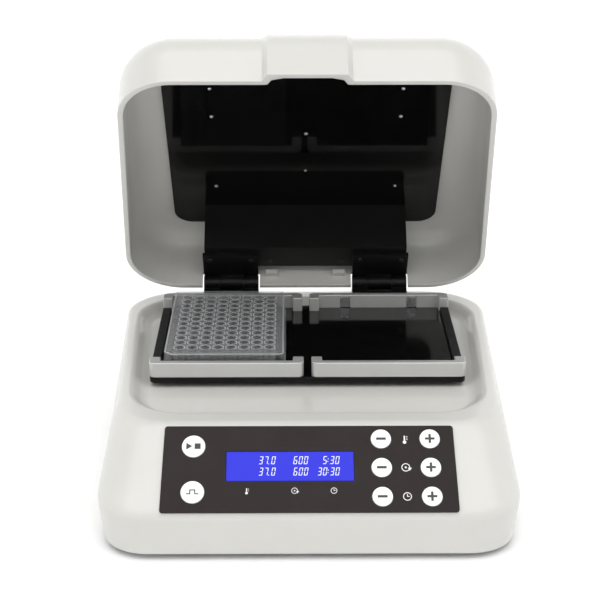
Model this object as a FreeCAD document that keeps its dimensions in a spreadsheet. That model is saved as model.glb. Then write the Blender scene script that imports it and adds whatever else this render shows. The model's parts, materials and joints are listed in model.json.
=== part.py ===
import FreeCAD, Part

import math
import os

import Sketcher
from FreeCAD import Placement, Rotation, Vector

# Two-plate orbital microplate shaker with a heated tray and a hinged, heated hood.
#
# Frame: millimetres, +Z up, -Y is the front with the control panel, +X is to the
# right seen from the front. The origin is on the table, under the middle of the
# instrument with its hood open. Sizes in the sheet count from the centre of the
# footprint instead, and FRAME moves every piece from there to the origin.
# The hood is drawn closed and then turned open about its hinge; every other piece is
# drawn where it stands.

SIZES = [
    # housing
    ("foot_height", 4.0, "rubber foot, below the housing"),
    ("half_depth", 148.25, "half of the footprint, front to back"),
    ("bottom_half_width", 135.5, "half width at the lower edge"),
    ("crease_half_width", 137.5, "half width at the crease round the housing"),
    ("crease_height", 32.0, "crease between the skirt and the sloped front"),
    ("land_height", 74.0, "flat rim that the hood closes on"),
    ("land_front", 102.35, "front edge of the rim, ahead of the centre"),
    ("land_front_half_width", 125.5, "half width of the rim at its front edge"),
    ("land_rear_half_width", 139.1, "half width of the rim at the rear, corners square"),
    ("skirt_corner", 31.0, "plan radius of the front corners, skirt"),
    ("skirt_rear_corner", 44.0, "plan radius of the rear corners, skirt"),
    ("land_front_corner", 34.0, "plan radius of the front corners, rim"),
    ("land_rear_corner", 46.0, "plan radius of the rear corners, rim"),
    ("rim_round", 5.0, "rounding of the rim's outer edge"),
    ("housing_wall", 3.0, "moulded wall"),
    ("recess_front", 86.15, "front edge of the tray recess, ahead of the centre"),
    ("recess_rear", 128.25, "rear edge of the tray recess, behind the centre"),
    ("recess_front_half_width", 117.5, "half width of the recess at the front"),
    ("recess_rear_half_width", 129.5, "half width of the recess at the rear"),
    ("recess_corner", 38.0, "plan radius of the recess corners"),
    ("recess_floor", 66.8, "height of the recess floor"),
    ("floor_wall", 2.5, "thickness of the recess floor and its upstand"),
    ("base_plate_thickness", 1.5, "steel bottom plate"),
    ("boss_radius", 4.0, "screw bosses inside the housing"),
    ("foot_radius", 11.0, "rubber foot"),
    ("foot_x", 106.0, "feet, each side of the centre"),
    ("foot_y", 116.0, "feet, ahead of and behind the centre"),
    # control panel, in the plane of the sloped front
    ("panel_half_width", 93.25, "half width of the overlay"),
    ("panel_low", 1.5, "overlay's lower edge, up the slope from the crease"),
    ("panel_high", 59.7, "overlay's upper edge"),
    ("panel_thickness", 1.2, "polycarbonate overlay"),
    ("command_key_radius", 7.4, "two large keys on the left"),
    ("command_key_x", 73.6, "large keys, left of the centre"),
    ("command_key_high", 45.8, "upper large key, up the slope"),
    ("command_key_low", 15.0, "lower large key, up the slope"),
    ("step_key_radius", 6.45, "six plus and minus keys on the right"),
    ("minus_key_x", 46.0, "column of minus keys"),
    ("plus_key_x", 77.2, "column of plus keys"),
    ("step_key_mid", 31.2, "middle row of the plus and minus keys"),
    ("step_key_pitch", 19.4, "row spacing of the plus and minus keys"),
    ("key_gap", 0.3, "clearance round a key in the overlay"),
    ("key_travel", 0.5, "stroke of a key"),
    ("key_cap", 1.0, "thickness of a key's cap"),
    ("key_proud", 0.4, "cap above the overlay"),
    ("key_stem_radius", 2.4, "stem behind a key"),
    ("key_stem_end", 7.95, "end of a stem below the sloped face"),
    ("window_width", 81.2, "display window"),
    ("window_height", 19.9, "display window, up the slope"),
    ("window_x", 12.1, "display's centre, left of the centre"),
    ("window_u", 32.3, "display's centre, up the slope"),
    ("board_depth", 12.4, "control board's face below the sloped face"),
    ("board_thickness", 1.6, "circuit boards"),
    ("board_half_width", 89.0, "control board"),
    ("board_low", 6.0, "control board's lower edge up the slope"),
    ("board_high", 56.0, "control board's upper edge up the slope"),
    # orbital drive
    ("tray_y", 39.55, "centre of the tray at rest"),
    ("orbit_radius", 1.0, "throw of the orbital motion"),
    ("deck_low", 36.0, "underside of the drive deck"),
    ("deck_thickness", 6.0, "aluminium drive deck"),
    ("deck_half_width", 95.0, "drive deck"),
    ("deck_half_depth", 58.0, "drive deck"),
    ("standoff_x", 88.0, "deck standoffs"),
    ("standoff_y", 51.0, "deck standoffs"),
    ("standoff_radius", 5.0, "deck standoffs"),
    ("carrier_low", 52.0, "underside of the orbiting carrier"),
    ("carrier_thickness", 6.0, "aluminium carrier"),
    ("carrier_half_width", 92.0, "carrier"),
    ("carrier_half_depth", 54.0, "carrier"),
    ("idler_x", 78.0, "idler cranks each side of the tray's centre"),
    ("idler_y", 42.0, "idler cranks ahead of and behind it"),
    ("idler_journal", 3.0, "radius of the idlers' journals"),
    ("idler_web", 8.5, "radius of the idlers' webs"),
    ("idler_bearing", 9.5, "outer radius of the idler bearings"),
    ("post_x", 50.0, "tray posts"),
    ("post_y", 44.0, "tray posts"),
    ("post_radius", 6.0, "tray posts"),
    ("post_hole", 9.5, "hole in the recess floor round a tray post"),
    ("motor_radius", 31.0, "motor housing"),
    ("motor_low", 11.0, "underside of the motor"),
    ("motor_wall", 2.5, "motor housing"),
    ("shaft_radius", 4.0, "motor shaft"),
    ("motor_bearing", 11.0, "outer radius of the motor bearings"),
    ("motor_bearing_height", 7.0, "motor bearings"),
    ("hub_radius", 11.0, "eccentric hub"),
    ("hub_low", 43.5, "underside of the eccentric hub"),
    ("hub_high", 51.0, "top of the eccentric hub"),
    ("pin_radius", 5.0, "eccentric pin"),
    ("pin_bearing", 13.0, "outer radius of the pin's bearing"),
    ("weight_radius", 27.0, "counterweight"),
    ("running_gap", 0.04, "radial clearance of a running fit"),
    # tray
    ("tray_half_width", 109.0, "tray"),
    ("tray_half_depth", 69.3, "tray"),
    ("tray_low", 70.0, "underside of the tray plate"),
    ("tray_thickness", 4.5, "black tray plate"),
    ("tray_corner", 5.0, "plan radius of the tray's corners"),
    ("fence_top", 85.0, "top of the fences"),
    ("fence_wall", 5.0, "fence along the front and the rear"),
    ("fence_return_width", 7.4, "short returns at a fence's ends"),
    ("fence_return_depth", 12.0, "short returns at a fence's ends"),
    ("centre_gap", 2.7, "half of the gap between the left and right fences"),
    ("rail_width", 6.3, "side rails"),
    ("rail_height", 3.0, "side rails above the tray plate"),
    ("mat_thickness", 1.0, "silicone heater under the tray plate"),
    ("clip_width", 7.7, "spring clips in the rear fence"),
    ("clip_spacing", 25.5, "clips each side of a position's centre"),
    # microplate, to the standard footprint
    ("plate_x", 57.8, "microplate's centre, left of the tray's centre"),
    ("plate_width", 85.48, "footprint across"),
    ("plate_length", 127.76, "footprint along"),
    ("plate_height", 14.35, "microplate"),
    ("plate_step", 1.3, "upper body inside the footprint"),
    ("plate_flange", 2.5, "height of the foot flange"),
    ("plate_wall", 1.2, "moulded wall"),
    ("well_pitch", 9.0, "well spacing"),
    ("well_radius", 3.45, "well"),
    ("well_depth", 10.9, "well"),
    # hood, drawn closed
    ("lid_open", 53.8, "angle that the hood stands open"),
    ("hinge_y", 143.75, "hinge axis behind the centre"),
    ("hinge_z", 80.7, "hinge axis above the table"),
    ("lid_gap", 0.6, "closed hood above the rim"),
    ("lid_front", 102.35, "hood's front face, ahead of the centre"),
    ("lid_rear", 142.25, "hood's rear face, behind the centre"),
    ("lid_front_half_width", 126.5, "hood at the front"),
    ("lid_rear_half_width", 140.2, "hood at the rear, corners square"),
    ("lid_front_corner", 38.0, "plan radius of the hood's front corners"),
    ("lid_rear_corner", 43.0, "plan radius of the hood's rear corners"),
    ("lid_height", 56.0, "hood from its rim to its top"),
    ("lid_round", 27.0, "rounding of the hood's top edge"),
    ("lid_wall", 4.0, "hood's wall"),
    ("tab_half_width", 29.5, "finger tab"),
    ("tab_proud", 6.6, "finger tab at the rim"),
    ("tab_proud_high", 3.0, "finger tab at the top"),
    ("notch_inner", 36.0, "hinge notches in the hood's rear wall, inner edge"),
    ("notch_outer", 81.0, "hinge notches, outer edge"),
    ("notch_height", 13.0, "hinge notches"),
    ("lid_plate_half_width", 103.0, "black heated plate in the hood"),
    ("lid_plate_rear", 20.8, "plate's rear edge inside the hood's rear face"),
    ("lid_plate_length", 203.0, "plate"),
    ("lid_plate_depth", 49.6, "plate's face above the hood's rim"),
    ("lid_plate_thickness", 1.5, "plate"),
    ("lid_plate_corner", 14.0, "plan radius of the plate's corners"),
    ("cover_half_width", 78.4, "hinge cover"),
    ("cover_top_reach", 43.1, "cover's front face at the plate, from the rear face"),
    ("cover_low_reach", 38.2, "cover's front face at its lower edge"),
    ("cover_low", 12.0, "cover's underside above the hood's rim"),
    ("cover_shelf", 13.2, "inner end of the cover's underside"),
    ("cover_wall", 1.5, "bent steel cover"),
    ("barrel_radius", 6.0, "hinge barrel"),
    ("hinge_inner", 37.0, "hinge, inner end"),
    ("hinge_outer", 80.0, "hinge, outer end"),
    ("knuckle_half", 10.0, "half length of the hood's knuckle"),
    ("knuckle_gap", 0.4, "between knuckles"),
    ("hinge_pin_radius", 2.5, "hinge pin"),
    ("leaf_thickness", 3.0, "hinge leaves"),
    ("leaf_reach", 31.6, "hood leaf's end from the hood's rear face"),
    # rear panel fittings
    ("inlet_x", 84.0, "mains inlet"),
    ("switch_x", 44.0, "power switch"),
    ("fuse_x", 16.0, "fuse holder"),
    ("fitting_z", 36.0, "height of the rear fittings"),
]

doc = FreeCAD.newDocument("orbital_shaker")
sheet = doc.addObject("Spreadsheet::Sheet", "Sizes")
for row, (alias, value, note) in enumerate(SIZES, start=1):
    sheet.set("A%d" % row, alias)
    sheet.set("B%d" % row, str(value))
    sheet.setAlias("B%d" % row, alias)
    sheet.set("C%d" % row, note)
doc.recompute()


class Size:
    """A number together with the spreadsheet expression that it comes from."""

    def __init__(self, value, text):
        self.value, self.text = value, text

    def __float__(self):
        return float(self.value)

    def __add__(self, other):
        return joined(self, "+", other, float(self) + float(other))

    def __radd__(self, other):
        return joined(other, "+", self, float(other) + float(self))

    def __sub__(self, other):
        return joined(self, "-", other, float(self) - float(other))

    def __rsub__(self, other):
        return joined(other, "-", self, float(other) - float(self))

    def __mul__(self, other):
        return joined(self, "*", other, float(self) * float(other))

    def __rmul__(self, other):
        return joined(other, "*", self, float(other) * float(self))

    def __truediv__(self, other):
        return joined(self, "/", other, float(self) / float(other))

    def __neg__(self):
        return self * -1


def text_of(value):
    return value.text if isinstance(value, Size) else "(%.6g)" % float(value)


def joined(left, sign, right, value):
    return Size(value, "(%s %s %s)" % (text_of(left), sign, text_of(right)))


class Sheet:
    """Each alias of the spreadsheet as an attribute."""

    def __getattr__(self, alias):
        return Size(float(sheet.get(alias)), "Sizes." + alias)


Z = Sheet()
NODES = []


def hood_reach():
    """How far the open hood's rounded rear edge stands behind the footprint's centre."""
    turn = math.radians(float(Z.lid_open))
    radius = float(Z.lid_round)
    dy = float(Z.lid_rear - Z.hinge_y) - radius
    dz = float(Z.land_height + Z.lid_gap + Z.lid_height - Z.hinge_z) - radius
    return float(Z.hinge_y) + dy * math.cos(turn) + dz * math.sin(turn) + radius


REST_CENTRE = (hood_reach() - float(Z.half_depth)) / 2
FRAME = Placement(Vector(0, -REST_CENTRE, 0), Rotation())


def keep(label, obj):
    """Name a finished sub-part: the label is also its node and file name."""
    obj.Label = label
    NODES.append(obj)
    return obj


def put(obj, at=(0, 0, 0), turn=None):
    """Bind an object's position to the sheet, after an optional fixed rotation."""
    if turn is not None:
        obj.Placement = Placement(Vector(0, 0, 0), turn)
    x, y, z = at
    for axis, value in (("x", x), ("y", y - REST_CENTRE), ("z", z)):
        obj.setExpression("Placement.Base." + axis, text_of(value))
    return obj


def settle(obj, placement):
    """Place an object by a placement counted from the footprint's centre."""
    for axis in "xyz":
        obj.setExpression("Placement.Base." + axis, None)
    obj.Placement = FRAME * placement
    return obj


def box(name, size, low):
    """A Part box from its lowest corner."""
    obj = doc.addObject("Part::Box", name)
    for side, value in zip(("Length", "Width", "Height"), size):
        obj.setExpression(side, text_of(value))
    return put(obj, low)


ALONG = {
    "+x": Rotation(Vector(0, 1, 0), 90),
    "+y": Rotation(Vector(1, 0, 0), -90),
    "+z": Rotation(),
    "-z": Rotation(Vector(1, 0, 0), 180),
}


def cylinder(name, radius, height, at, along="+z"):
    """A Part cylinder from the centre of its first face."""
    obj = doc.addObject("Part::Cylinder", name)
    obj.setExpression("Radius", text_of(radius))
    obj.setExpression("Height", text_of(height))
    return put(obj, at, ALONG[along])


def fuse(name, pieces):
    obj = doc.addObject("Part::MultiFuse", name)
    obj.Shapes = pieces
    return obj


def group(name, pieces):
    obj = doc.addObject("Part::Compound", name)
    obj.Links = pieces
    return obj


def cut(name, base, tools):
    obj = doc.addObject("Part::Cut", name)
    obj.Base = base
    obj.Tool = tools[0] if len(tools) == 1 else fuse(name + "_tools", tools)
    return obj


def feature(name, shape, placement=None):
    """A shape made by Part's own functions, for forms that no primitive fits."""
    obj = doc.addObject("Part::Feature", name)
    obj.Shape = shape
    return settle(obj, obj.Placement if placement is None else placement)


# ---- PartDesign helpers ----

def plane_of(body, role):
    for item in body.Origin.OriginFeatures:
        if item.Role == role:
            return item
    raise ValueError(role)


def new_sketch(body, name, role="XY_Plane", offset=None):
    sketch = body.newObject("Sketcher::SketchObject", name)
    sketch.AttachmentSupport = [(plane_of(body, role), "")]
    sketch.MapMode = "FlatFace"
    if offset is not None:
        sketch.setExpression("AttachmentOffset.Base.z", text_of(offset))
    return sketch


def fix_value(sketch, kind, geo, point, value):
    """Tie one coordinate of a sketch point to the sheet."""
    if abs(float(value)) < 1e-9:
        axis = -2 if kind == "DistanceX" else -1
        sketch.addConstraint(Sketcher.Constraint("PointOnObject", geo, point, axis))
        return
    index = sketch.addConstraint(Sketcher.Constraint(kind, -1, 1, geo, point, float(value)))
    sketch.setExpression("Constraints[%d]" % index, text_of(value))


def draw_polygon(sketch, points):
    first = sketch.GeometryCount
    count = len(points)
    for i in range(count):
        (x0, y0), (x1, y1) = points[i], points[(i + 1) % count]
        line = Part.LineSegment(Vector(float(x0), float(y0), 0), Vector(float(x1), float(y1), 0))
        sketch.addGeometry(line, False)
    for i in range(count):
        follower = first + (i + 1) % count
        sketch.addConstraint(Sketcher.Constraint("Coincident", first + i, 2, follower, 1))
    for i, (x, y) in enumerate(points):
        fix_value(sketch, "DistanceX", first + i, 1, x)
        fix_value(sketch, "DistanceY", first + i, 1, y)


def draw_circle(sketch, x, y, radius):
    geo = sketch.addGeometry(
        Part.Circle(Vector(float(x), float(y), 0), Vector(0, 0, 1), float(radius)), False)
    fix_value(sketch, "DistanceX", geo, 3, x)
    fix_value(sketch, "DistanceY", geo, 3, y)
    index = sketch.addConstraint(Sketcher.Constraint("Radius", geo, float(radius)))
    sketch.setExpression("Constraints[%d]" % index, text_of(radius))


def pad(body, sketch, height, name):
    obj = body.newObject("PartDesign::Pad", name)
    obj.Profile = sketch
    obj.setExpression("Length", text_of(height))
    sketch.Visibility = False
    return obj


def pocket_through(body, sketch, name):
    """Cut a sketch right through the body, and prove that it removed something."""
    doc.recompute()
    before = body.Shape.Volume
    obj = body.newObject("PartDesign::Pocket", name)
    obj.Profile = sketch
    obj.Type = "ThroughAll"
    obj.Midplane = True
    doc.recompute()
    if body.Shape.Volume >= before - 1e-6:
        raise RuntimeError(name + " removed nothing")
    return obj


def upright_edges(shape, keep_edge):
    """Names of the straight vertical edges whose (x, y) passes the test."""
    names = []
    for number, edge in enumerate(shape.Edges, start=1):
        start, end = edge.Vertexes[0].Point, edge.Vertexes[-1].Point
        upright = abs(start.x - end.x) < 1e-6 and abs(start.y - end.y) < 1e-6
        if upright and isinstance(edge.Curve, Part.Line) and keep_edge(start.x, start.y):
            names.append("Edge%d" % number)
    return names


def round_uprights(body, base, radius, name, keep_edge=lambda x, y: True):
    doc.recompute()
    obj = body.newObject("PartDesign::Fillet", name)
    obj.Base = (base, upright_edges(base.Shape, keep_edge))
    obj.setExpression("Radius", text_of(radius))
    return obj


def plate_body(label, x_range, y_range, low, height, corner=None, rear_corner=None,
               holes=(), windows=()):
    """A flat plate: a padded rectangle with rounded corners, round holes and windows."""
    body = doc.addObject("PartDesign::Body", label + "_body")
    (x0, x1), (y0, y1) = x_range, y_range
    sketch = new_sketch(body, label + "_outline", offset=low)
    draw_polygon(sketch, [(x0, y0), (x1, y0), (x1, y1), (x0, y1)])
    plate = pad(body, sketch, height, label + "_pad")
    if rear_corner is not None:
        middle = (float(y0) + float(y1)) / 2
        front = round_uprights(body, plate, corner, label + "_front_corners",
                               lambda x, y: y < middle)
        round_uprights(body, front, rear_corner, label + "_rear_corners",
                       lambda x, y: y > float(y1) - 0.01)
    elif corner is not None:
        round_uprights(body, plate, corner, label + "_corners")
    if holes or windows:
        cuts = new_sketch(body, label + "_cuts", offset=low + height / 2)
        for x, y, radius in holes:
            draw_circle(cuts, x, y, radius)
        for wx0, wx1, wy0, wy1 in windows:
            draw_polygon(cuts, [(wx0, wy0), (wx1, wy0), (wx1, wy1), (wx0, wy1)])
        pocket_through(body, cuts, label + "_pocket")
    return keep(label, put(body))


def turned_body(label, profile, at=(0, 0, 0)):
    """A body of revolution about a vertical axis, from (radius, height) points."""
    body = doc.addObject("PartDesign::Body", label + "_body")
    sketch = new_sketch(body, label + "_profile", "XZ_Plane")
    draw_polygon(sketch, profile)
    turned = body.newObject("PartDesign::Revolution", label + "_turned")
    turned.Profile = sketch
    turned.ReferenceAxis = (sketch, ["V_Axis"])
    turned.Angle = 360
    put(body, at)
    return body


# ---- outlines ----

def rounded_wire(corners, z):
    """A closed wire through (x, y, radius) corners, with a tangent arc at each."""
    count = len(corners)
    ends = []
    for i in range(count):
        x, y, radius = (float(v) for v in corners[i])
        here = Vector(x, y, z)
        before = Vector(float(corners[i - 1][0]), float(corners[i - 1][1]), z) - here
        after_corner = corners[(i + 1) % count]
        after = Vector(float(after_corner[0]), float(after_corner[1]), z) - here
        before.normalize()
        after.normalize()
        half = before.getAngle(after) / 2
        reach = radius / math.tan(half)
        bisector = (before + after).normalize()
        middle = here + bisector * (radius / math.sin(half) - radius)
        ends.append((here + before * reach, middle, here + after * reach))
    edges = []
    for i in range(count):
        start, middle, end = ends[i]
        edges.append(Part.Arc(start, middle, end).toShape())
        edges.append(Part.LineSegment(end, ends[(i + 1) % count][0]).toShape())
    return Part.Wire(edges)


def trapezium(front, rear, front_half, rear_half, front_corner, rear_corner, z):
    """Outline symmetric about the YZ plane, narrower at the front."""
    return rounded_wire([
        (-float(front_half), -float(front), front_corner),
        (float(front_half), -float(front), front_corner),
        (float(rear_half), float(rear), rear_corner),
        (-float(rear_half), float(rear), rear_corner),
    ], float(z))


def prism(wire, height):
    return Part.Face(wire).extrude(Vector(0, 0, float(height)))


def profile_solid(points, x0, x1):
    """Extrude a (y, z) polygon between two x positions."""
    vertices = [Vector(float(x0), float(y), float(z)) for y, z in points]
    face = Part.Face(Part.makePolygon(vertices + vertices[:1]))
    return face.extrude(Vector(float(x1) - float(x0), 0, 0))


def edges_at_height(shape, z):
    return [e for e in shape.Edges if all(abs(v.Point.z - z) < 1e-4 for v in e.Vertexes)]


# ---- the sloped front's own frame ----

SLOPE = math.degrees(math.atan2(float(Z.land_height - Z.crease_height),
                                float(Z.half_depth - Z.land_front)))
SLOPE_SIN, SLOPE_COS = math.sin(math.radians(SLOPE)), math.cos(math.radians(SLOPE))


def on_slope(x=0.0, u=0.0, n=0.0):
    """Placement on the sloped front: u runs up it from the crease, n stands out of it."""
    u, n = float(u), float(n)
    at = Vector(float(x),
                -float(Z.half_depth) + u * SLOPE_COS - n * SLOPE_SIN,
                float(Z.crease_height) + u * SLOPE_SIN + n * SLOPE_COS)
    return Placement(at, Rotation(Vector(1, 0, 0), SLOPE))


def slope_box(x0, x1, u0, u1, n0, n1):
    shape = Part.makeBox(float(x1) - float(x0), float(u1) - float(u0), float(n1) - float(n0),
                         Vector(float(x0), float(u0), float(n0)))
    return shape.transformed(on_slope().toMatrix())


def slope_cylinder(x, u, radius, n0, n1):
    shape = Part.makeCylinder(float(radius), float(n1) - float(n0),
                              Vector(float(x), float(u), float(n0)))
    return shape.transformed(on_slope().toMatrix())


KEYS = [
    ("start_stop_key", -Z.command_key_x, Z.command_key_high, Z.command_key_radius),
    ("short_run_key", -Z.command_key_x, Z.command_key_low, Z.command_key_radius),
]
for row, word in enumerate(("temperature", "speed", "time")):
    height = Z.step_key_mid + (1 - row) * Z.step_key_pitch
    KEYS.append((word + "_down_key", Z.minus_key_x, height, Z.step_key_radius))
    KEYS.append((word + "_up_key", Z.plus_key_x, height, Z.step_key_radius))


# ---- fasteners, drawn with their head at the origin and their shank along -Z ----

def screw(radius, length, head_radius=None, head_height=None, socket=True):
    head_radius = head_radius or 1.9 * radius
    head_height = head_height or 1.2 * radius
    shape = Part.makeCylinder(head_radius, head_height)
    rim = edges_at_height(shape, head_height)
    shape = shape.makeFillet(0.45 * head_height, rim)
    shape = shape.fuse(Part.makeCylinder(radius, length, Vector(0, 0, 0), Vector(0, 0, -1)))
    if socket:
        across = 0.62 * head_radius
        for turn in (0, 90):
            slot = Part.makeBox(2 * across, 0.34 * head_radius, head_height,
                                Vector(-across, -0.17 * head_radius, 0.5 * head_height))
            slot.rotate(Vector(0, 0, 0), Vector(0, 0, 1), turn)
            shape = shape.cut(slot)
    return shape.removeSplitter()


def screws(label, placements, *size, **options):
    """Identical screws as one node: separate solids in a compound."""
    one = screw(*size, **options)
    return keep(label, feature(label, Part.makeCompound(
        [one.transformed(place.toMatrix()) for place in placements])))


def at_points(points, z, turn="+z"):
    return [Placement(Vector(float(x), float(y), float(z)), ALONG[turn]) for x, y in points]


def four(x, y, centre_y=0.0):
    """Four (x, y) points about a centre on the middle plane."""
    return [(sx * x, centre_y + sy * y) for sx in (-1, 1) for sy in (-1, 1)]


# ==== housing ====

BOSSES = [(-126, -75), (126, -75), (-126, 75), (126, 75), (0, -138), (0, 138)]
BOARD_POSTS = [(x, u) for x in (-84, 84) for u in (21, 41)]


def housing():
    wall = float(Z.housing_wall)
    crease, land = float(Z.crease_height), float(Z.land_height)

    def section(inset, z, half_width, front=float(Z.half_depth), rear_half=None,
                front_r=Z.skirt_corner, rear_r=Z.skirt_rear_corner):
        rear_half = half_width if rear_half is None else rear_half
        return trapezium(front, Z.half_depth - inset, float(half_width) - inset,
                         float(rear_half) - inset, front_r - inset, rear_r - inset, z)

    outer = Part.makeLoft([
        section(0, Z.foot_height, Z.bottom_half_width),
        section(0, crease, Z.crease_half_width),
        section(0, land, Z.land_front_half_width, float(Z.land_front), Z.land_rear_half_width,
                Z.land_front_corner, Z.land_rear_corner),
    ], True, True)
    outer = outer.makeFillet(float(Z.rim_round), edges_at_height(outer, land))

    # the inside follows the outside at the wall's thickness, square to the slope as well
    sideways = wall / SLOPE_SIN
    inner_crease = crease - (sideways - wall) * SLOPE_SIN / SLOPE_COS
    inner_land = land - wall
    inner_front = float(Z.half_depth) - sideways - (inner_land - crease) * SLOPE_COS / SLOPE_SIN
    inner = Part.makeLoft([
        section(wall, float(Z.foot_height) - 1, Z.bottom_half_width, float(Z.half_depth) - wall),
        section(wall, inner_crease, Z.crease_half_width, float(Z.half_depth) - wall),
        section(wall, inner_land, Z.land_front_half_width, inner_front, Z.land_rear_half_width,
                Z.land_front_corner, Z.land_rear_corner),
    ], True, True)

    floor_low = Z.recess_floor - Z.floor_wall

    def recess(grow, z):
        return trapezium(Z.recess_front + grow, Z.recess_rear + grow,
                         Z.recess_front_half_width + grow, Z.recess_rear_half_width + grow,
                         Z.recess_corner + grow, Z.recess_corner + grow, z)

    pan = prism(recess(Z.floor_wall, floor_low), 20)
    shape = outer.cut(inner.cut(pan))
    shape = shape.cut(prism(recess(0.0, Z.recess_floor), 20))

    plate_top = float(Z.foot_height + Z.base_plate_thickness)
    for x, y in BOSSES:
        shape = shape.fuse(Part.makeCylinder(float(Z.boss_radius), 18, Vector(x, y, plate_top)))
        outward = Vector(x, 0, 0) if x else Vector(0, y, 0)
        outward.normalize()
        rib = Part.makeBox(10, 2.4, 18, Vector(0, -1.2, 0))
        rib.rotate(Vector(), Vector(0, 0, 1), math.degrees(math.atan2(outward.y, outward.x)))
        rib.translate(Vector(x, y, plate_top))
        shape = shape.fuse(rib)
    for x, u in BOARD_POSTS:
        shape = shape.fuse(slope_cylinder(x, u, 3.2, -Z.board_depth, -wall + 0.5))
    shape = shape.common(outer)

    cuts = [Part.makeCylinder(1.3, 14, Vector(x, y, plate_top)) for x, y in BOSSES]
    cuts += [slope_cylinder(x, u, 1.1, -Z.board_depth - 1, -Z.board_depth + 6)
             for x, u in BOARD_POSTS]
    half_w, half_h = Z.window_width / 2, Z.window_height / 2
    cuts.append(slope_box(-Z.window_x - half_w, -Z.window_x + half_w,
                          Z.window_u - half_h, Z.window_u + half_h, -6, 2))
    cuts += [slope_cylinder(x, u, Z.key_stem_radius + 0.5, -6, 2) for _, x, u, _ in KEYS]
    for x, y in four(float(Z.post_x), float(Z.post_y), float(Z.tray_y)):
        cuts.append(Part.makeCylinder(float(Z.post_hole), 8, Vector(x, y, float(floor_low) - 2)))
    rear, height = float(Z.half_depth) - 6, float(Z.fitting_z)
    for x, width, tall in ((Z.inlet_x, 28.0, 20.4), (Z.switch_x, 19.4, 13.4)):
        cuts.append(Part.makeBox(width, 12, tall,
                                 Vector(float(x) - width / 2, rear, height - tall / 2)))
    cuts.append(Part.makeCylinder(6.3, 12, Vector(float(Z.fuse_x), rear, height), Vector(0, 1, 0)))
    for x, y in HINGE_SCREWS:
        cuts.append(Part.makeCylinder(1.6, 12, Vector(x, y, 65)))
    for tool in cuts:
        shape = shape.cut(tool)
    return keep("housing", feature("housing", shape.removeSplitter()))


HINGE_MID = float(Z.hinge_inner + Z.hinge_outer) / 2
HINGE_SCREWS = [(side * x, float(Z.hinge_y) - 8.0) for side in (-1, 1)
                for x in (float(Z.hinge_inner) + 6.0, float(Z.hinge_outer) - 6.0)]
housing()

plate_low = Z.foot_height
inset = Z.housing_wall + 0.4
plate_half_x, plate_half_y = Z.bottom_half_width - inset, Z.half_depth - inset
plate_body(
    "base_plate", (-plate_half_x, plate_half_x), (-plate_half_y, plate_half_y),
    plate_low, Z.base_plate_thickness, corner=Z.skirt_corner - inset,
    rear_corner=Z.skirt_rear_corner - inset,
    holes=[(x, y, 1.7) for x, y in BOSSES]
    + [(x, y, 1.7) for x, y in four(Z.foot_x, Z.foot_y)]
    + [(x, y, 1.7) for x, y in four(Z.standoff_x, Z.standoff_y, Z.tray_y - Z.orbit_radius)])

feet = []
for number, (x, y) in enumerate(four(Z.foot_x, Z.foot_y)):
    outer = cylinder("foot_%d" % number, Z.foot_radius, Z.foot_height, (x, y, 0))
    bore = cylinder("foot_bore_%d" % number, 3.6, 3.0, (x, y, -1))
    shank = cylinder("foot_shank_%d" % number, 1.7, Z.foot_height + 1, (x, y, 0))
    feet.append(cut("foot_cut_%d" % number, outer, [bore, shank]))
keep("rubber_feet", group("rubber_feet_group", feet))
screws("bottom_screws", at_points(four(Z.foot_x, Z.foot_y), 2.0, "-z")
       + at_points(BOSSES, Z.foot_height, "-z"), 1.28, 8.5, head_radius=2.8, head_height=1.5)


# ==== control panel ====

def overlay():
    shape = slope_box(-Z.panel_half_width, Z.panel_half_width, Z.panel_low, Z.panel_high,
                      0, Z.panel_thickness)
    corners = [e for e in shape.Edges if abs(e.Length - float(Z.panel_thickness)) < 1e-6]
    shape = shape.makeFillet(2.0, corners)
    half_w, half_h = Z.window_width / 2, Z.window_height / 2
    shape = shape.cut(slope_box(-Z.window_x - half_w, -Z.window_x + half_w,
                                Z.window_u - half_h, Z.window_u + half_h, -1, 3))
    for _, x, u, radius in KEYS:
        shape = shape.cut(slope_cylinder(x, u, radius + Z.key_gap, -1, 3))
    return keep("control_panel", feature("control_panel", shape))


overlay()

for label, x, u, radius in KEYS:
    top = Z.panel_thickness + Z.key_proud
    under = top - Z.key_cap
    body = turned_body(label, [
        (0, -Z.key_stem_end), (Z.key_stem_radius, -Z.key_stem_end),
        (Z.key_stem_radius, under), (radius, under), (radius, top - 0.35),
        (radius - 0.35, top), (0, top)])
    keep(label, settle(body, on_slope(x, u, 0)))

margin = 0.2
half_w, half_h = Z.window_width / 2 - margin, Z.window_height / 2 - margin
keep("display_window", feature("display_window", slope_box(
    -Z.window_x - half_w, -Z.window_x + half_w, Z.window_u - half_h, Z.window_u + half_h,
    0.1, Z.panel_thickness - 0.1)))


def display_module():
    glass = slope_box(-Z.window_x - half_w, -Z.window_x + half_w,
                      Z.window_u - half_h, Z.window_u + half_h, -4, 0.05)
    frame = slope_box(-Z.window_x - half_w - 3, -Z.window_x + half_w + 3,
                      Z.window_u - half_h - 3, Z.window_u + half_h + 3, -11.0, -3.3)
    pins = slope_box(-Z.window_x - 20, -Z.window_x + 20, Z.window_u + half_h, Z.window_u + half_h + 2,
                     -Z.board_depth, -11.0)
    return keep("display_module", feature("display_module",
                                          glass.fuse(frame).fuse(pins).removeSplitter()))


display_module()


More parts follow.
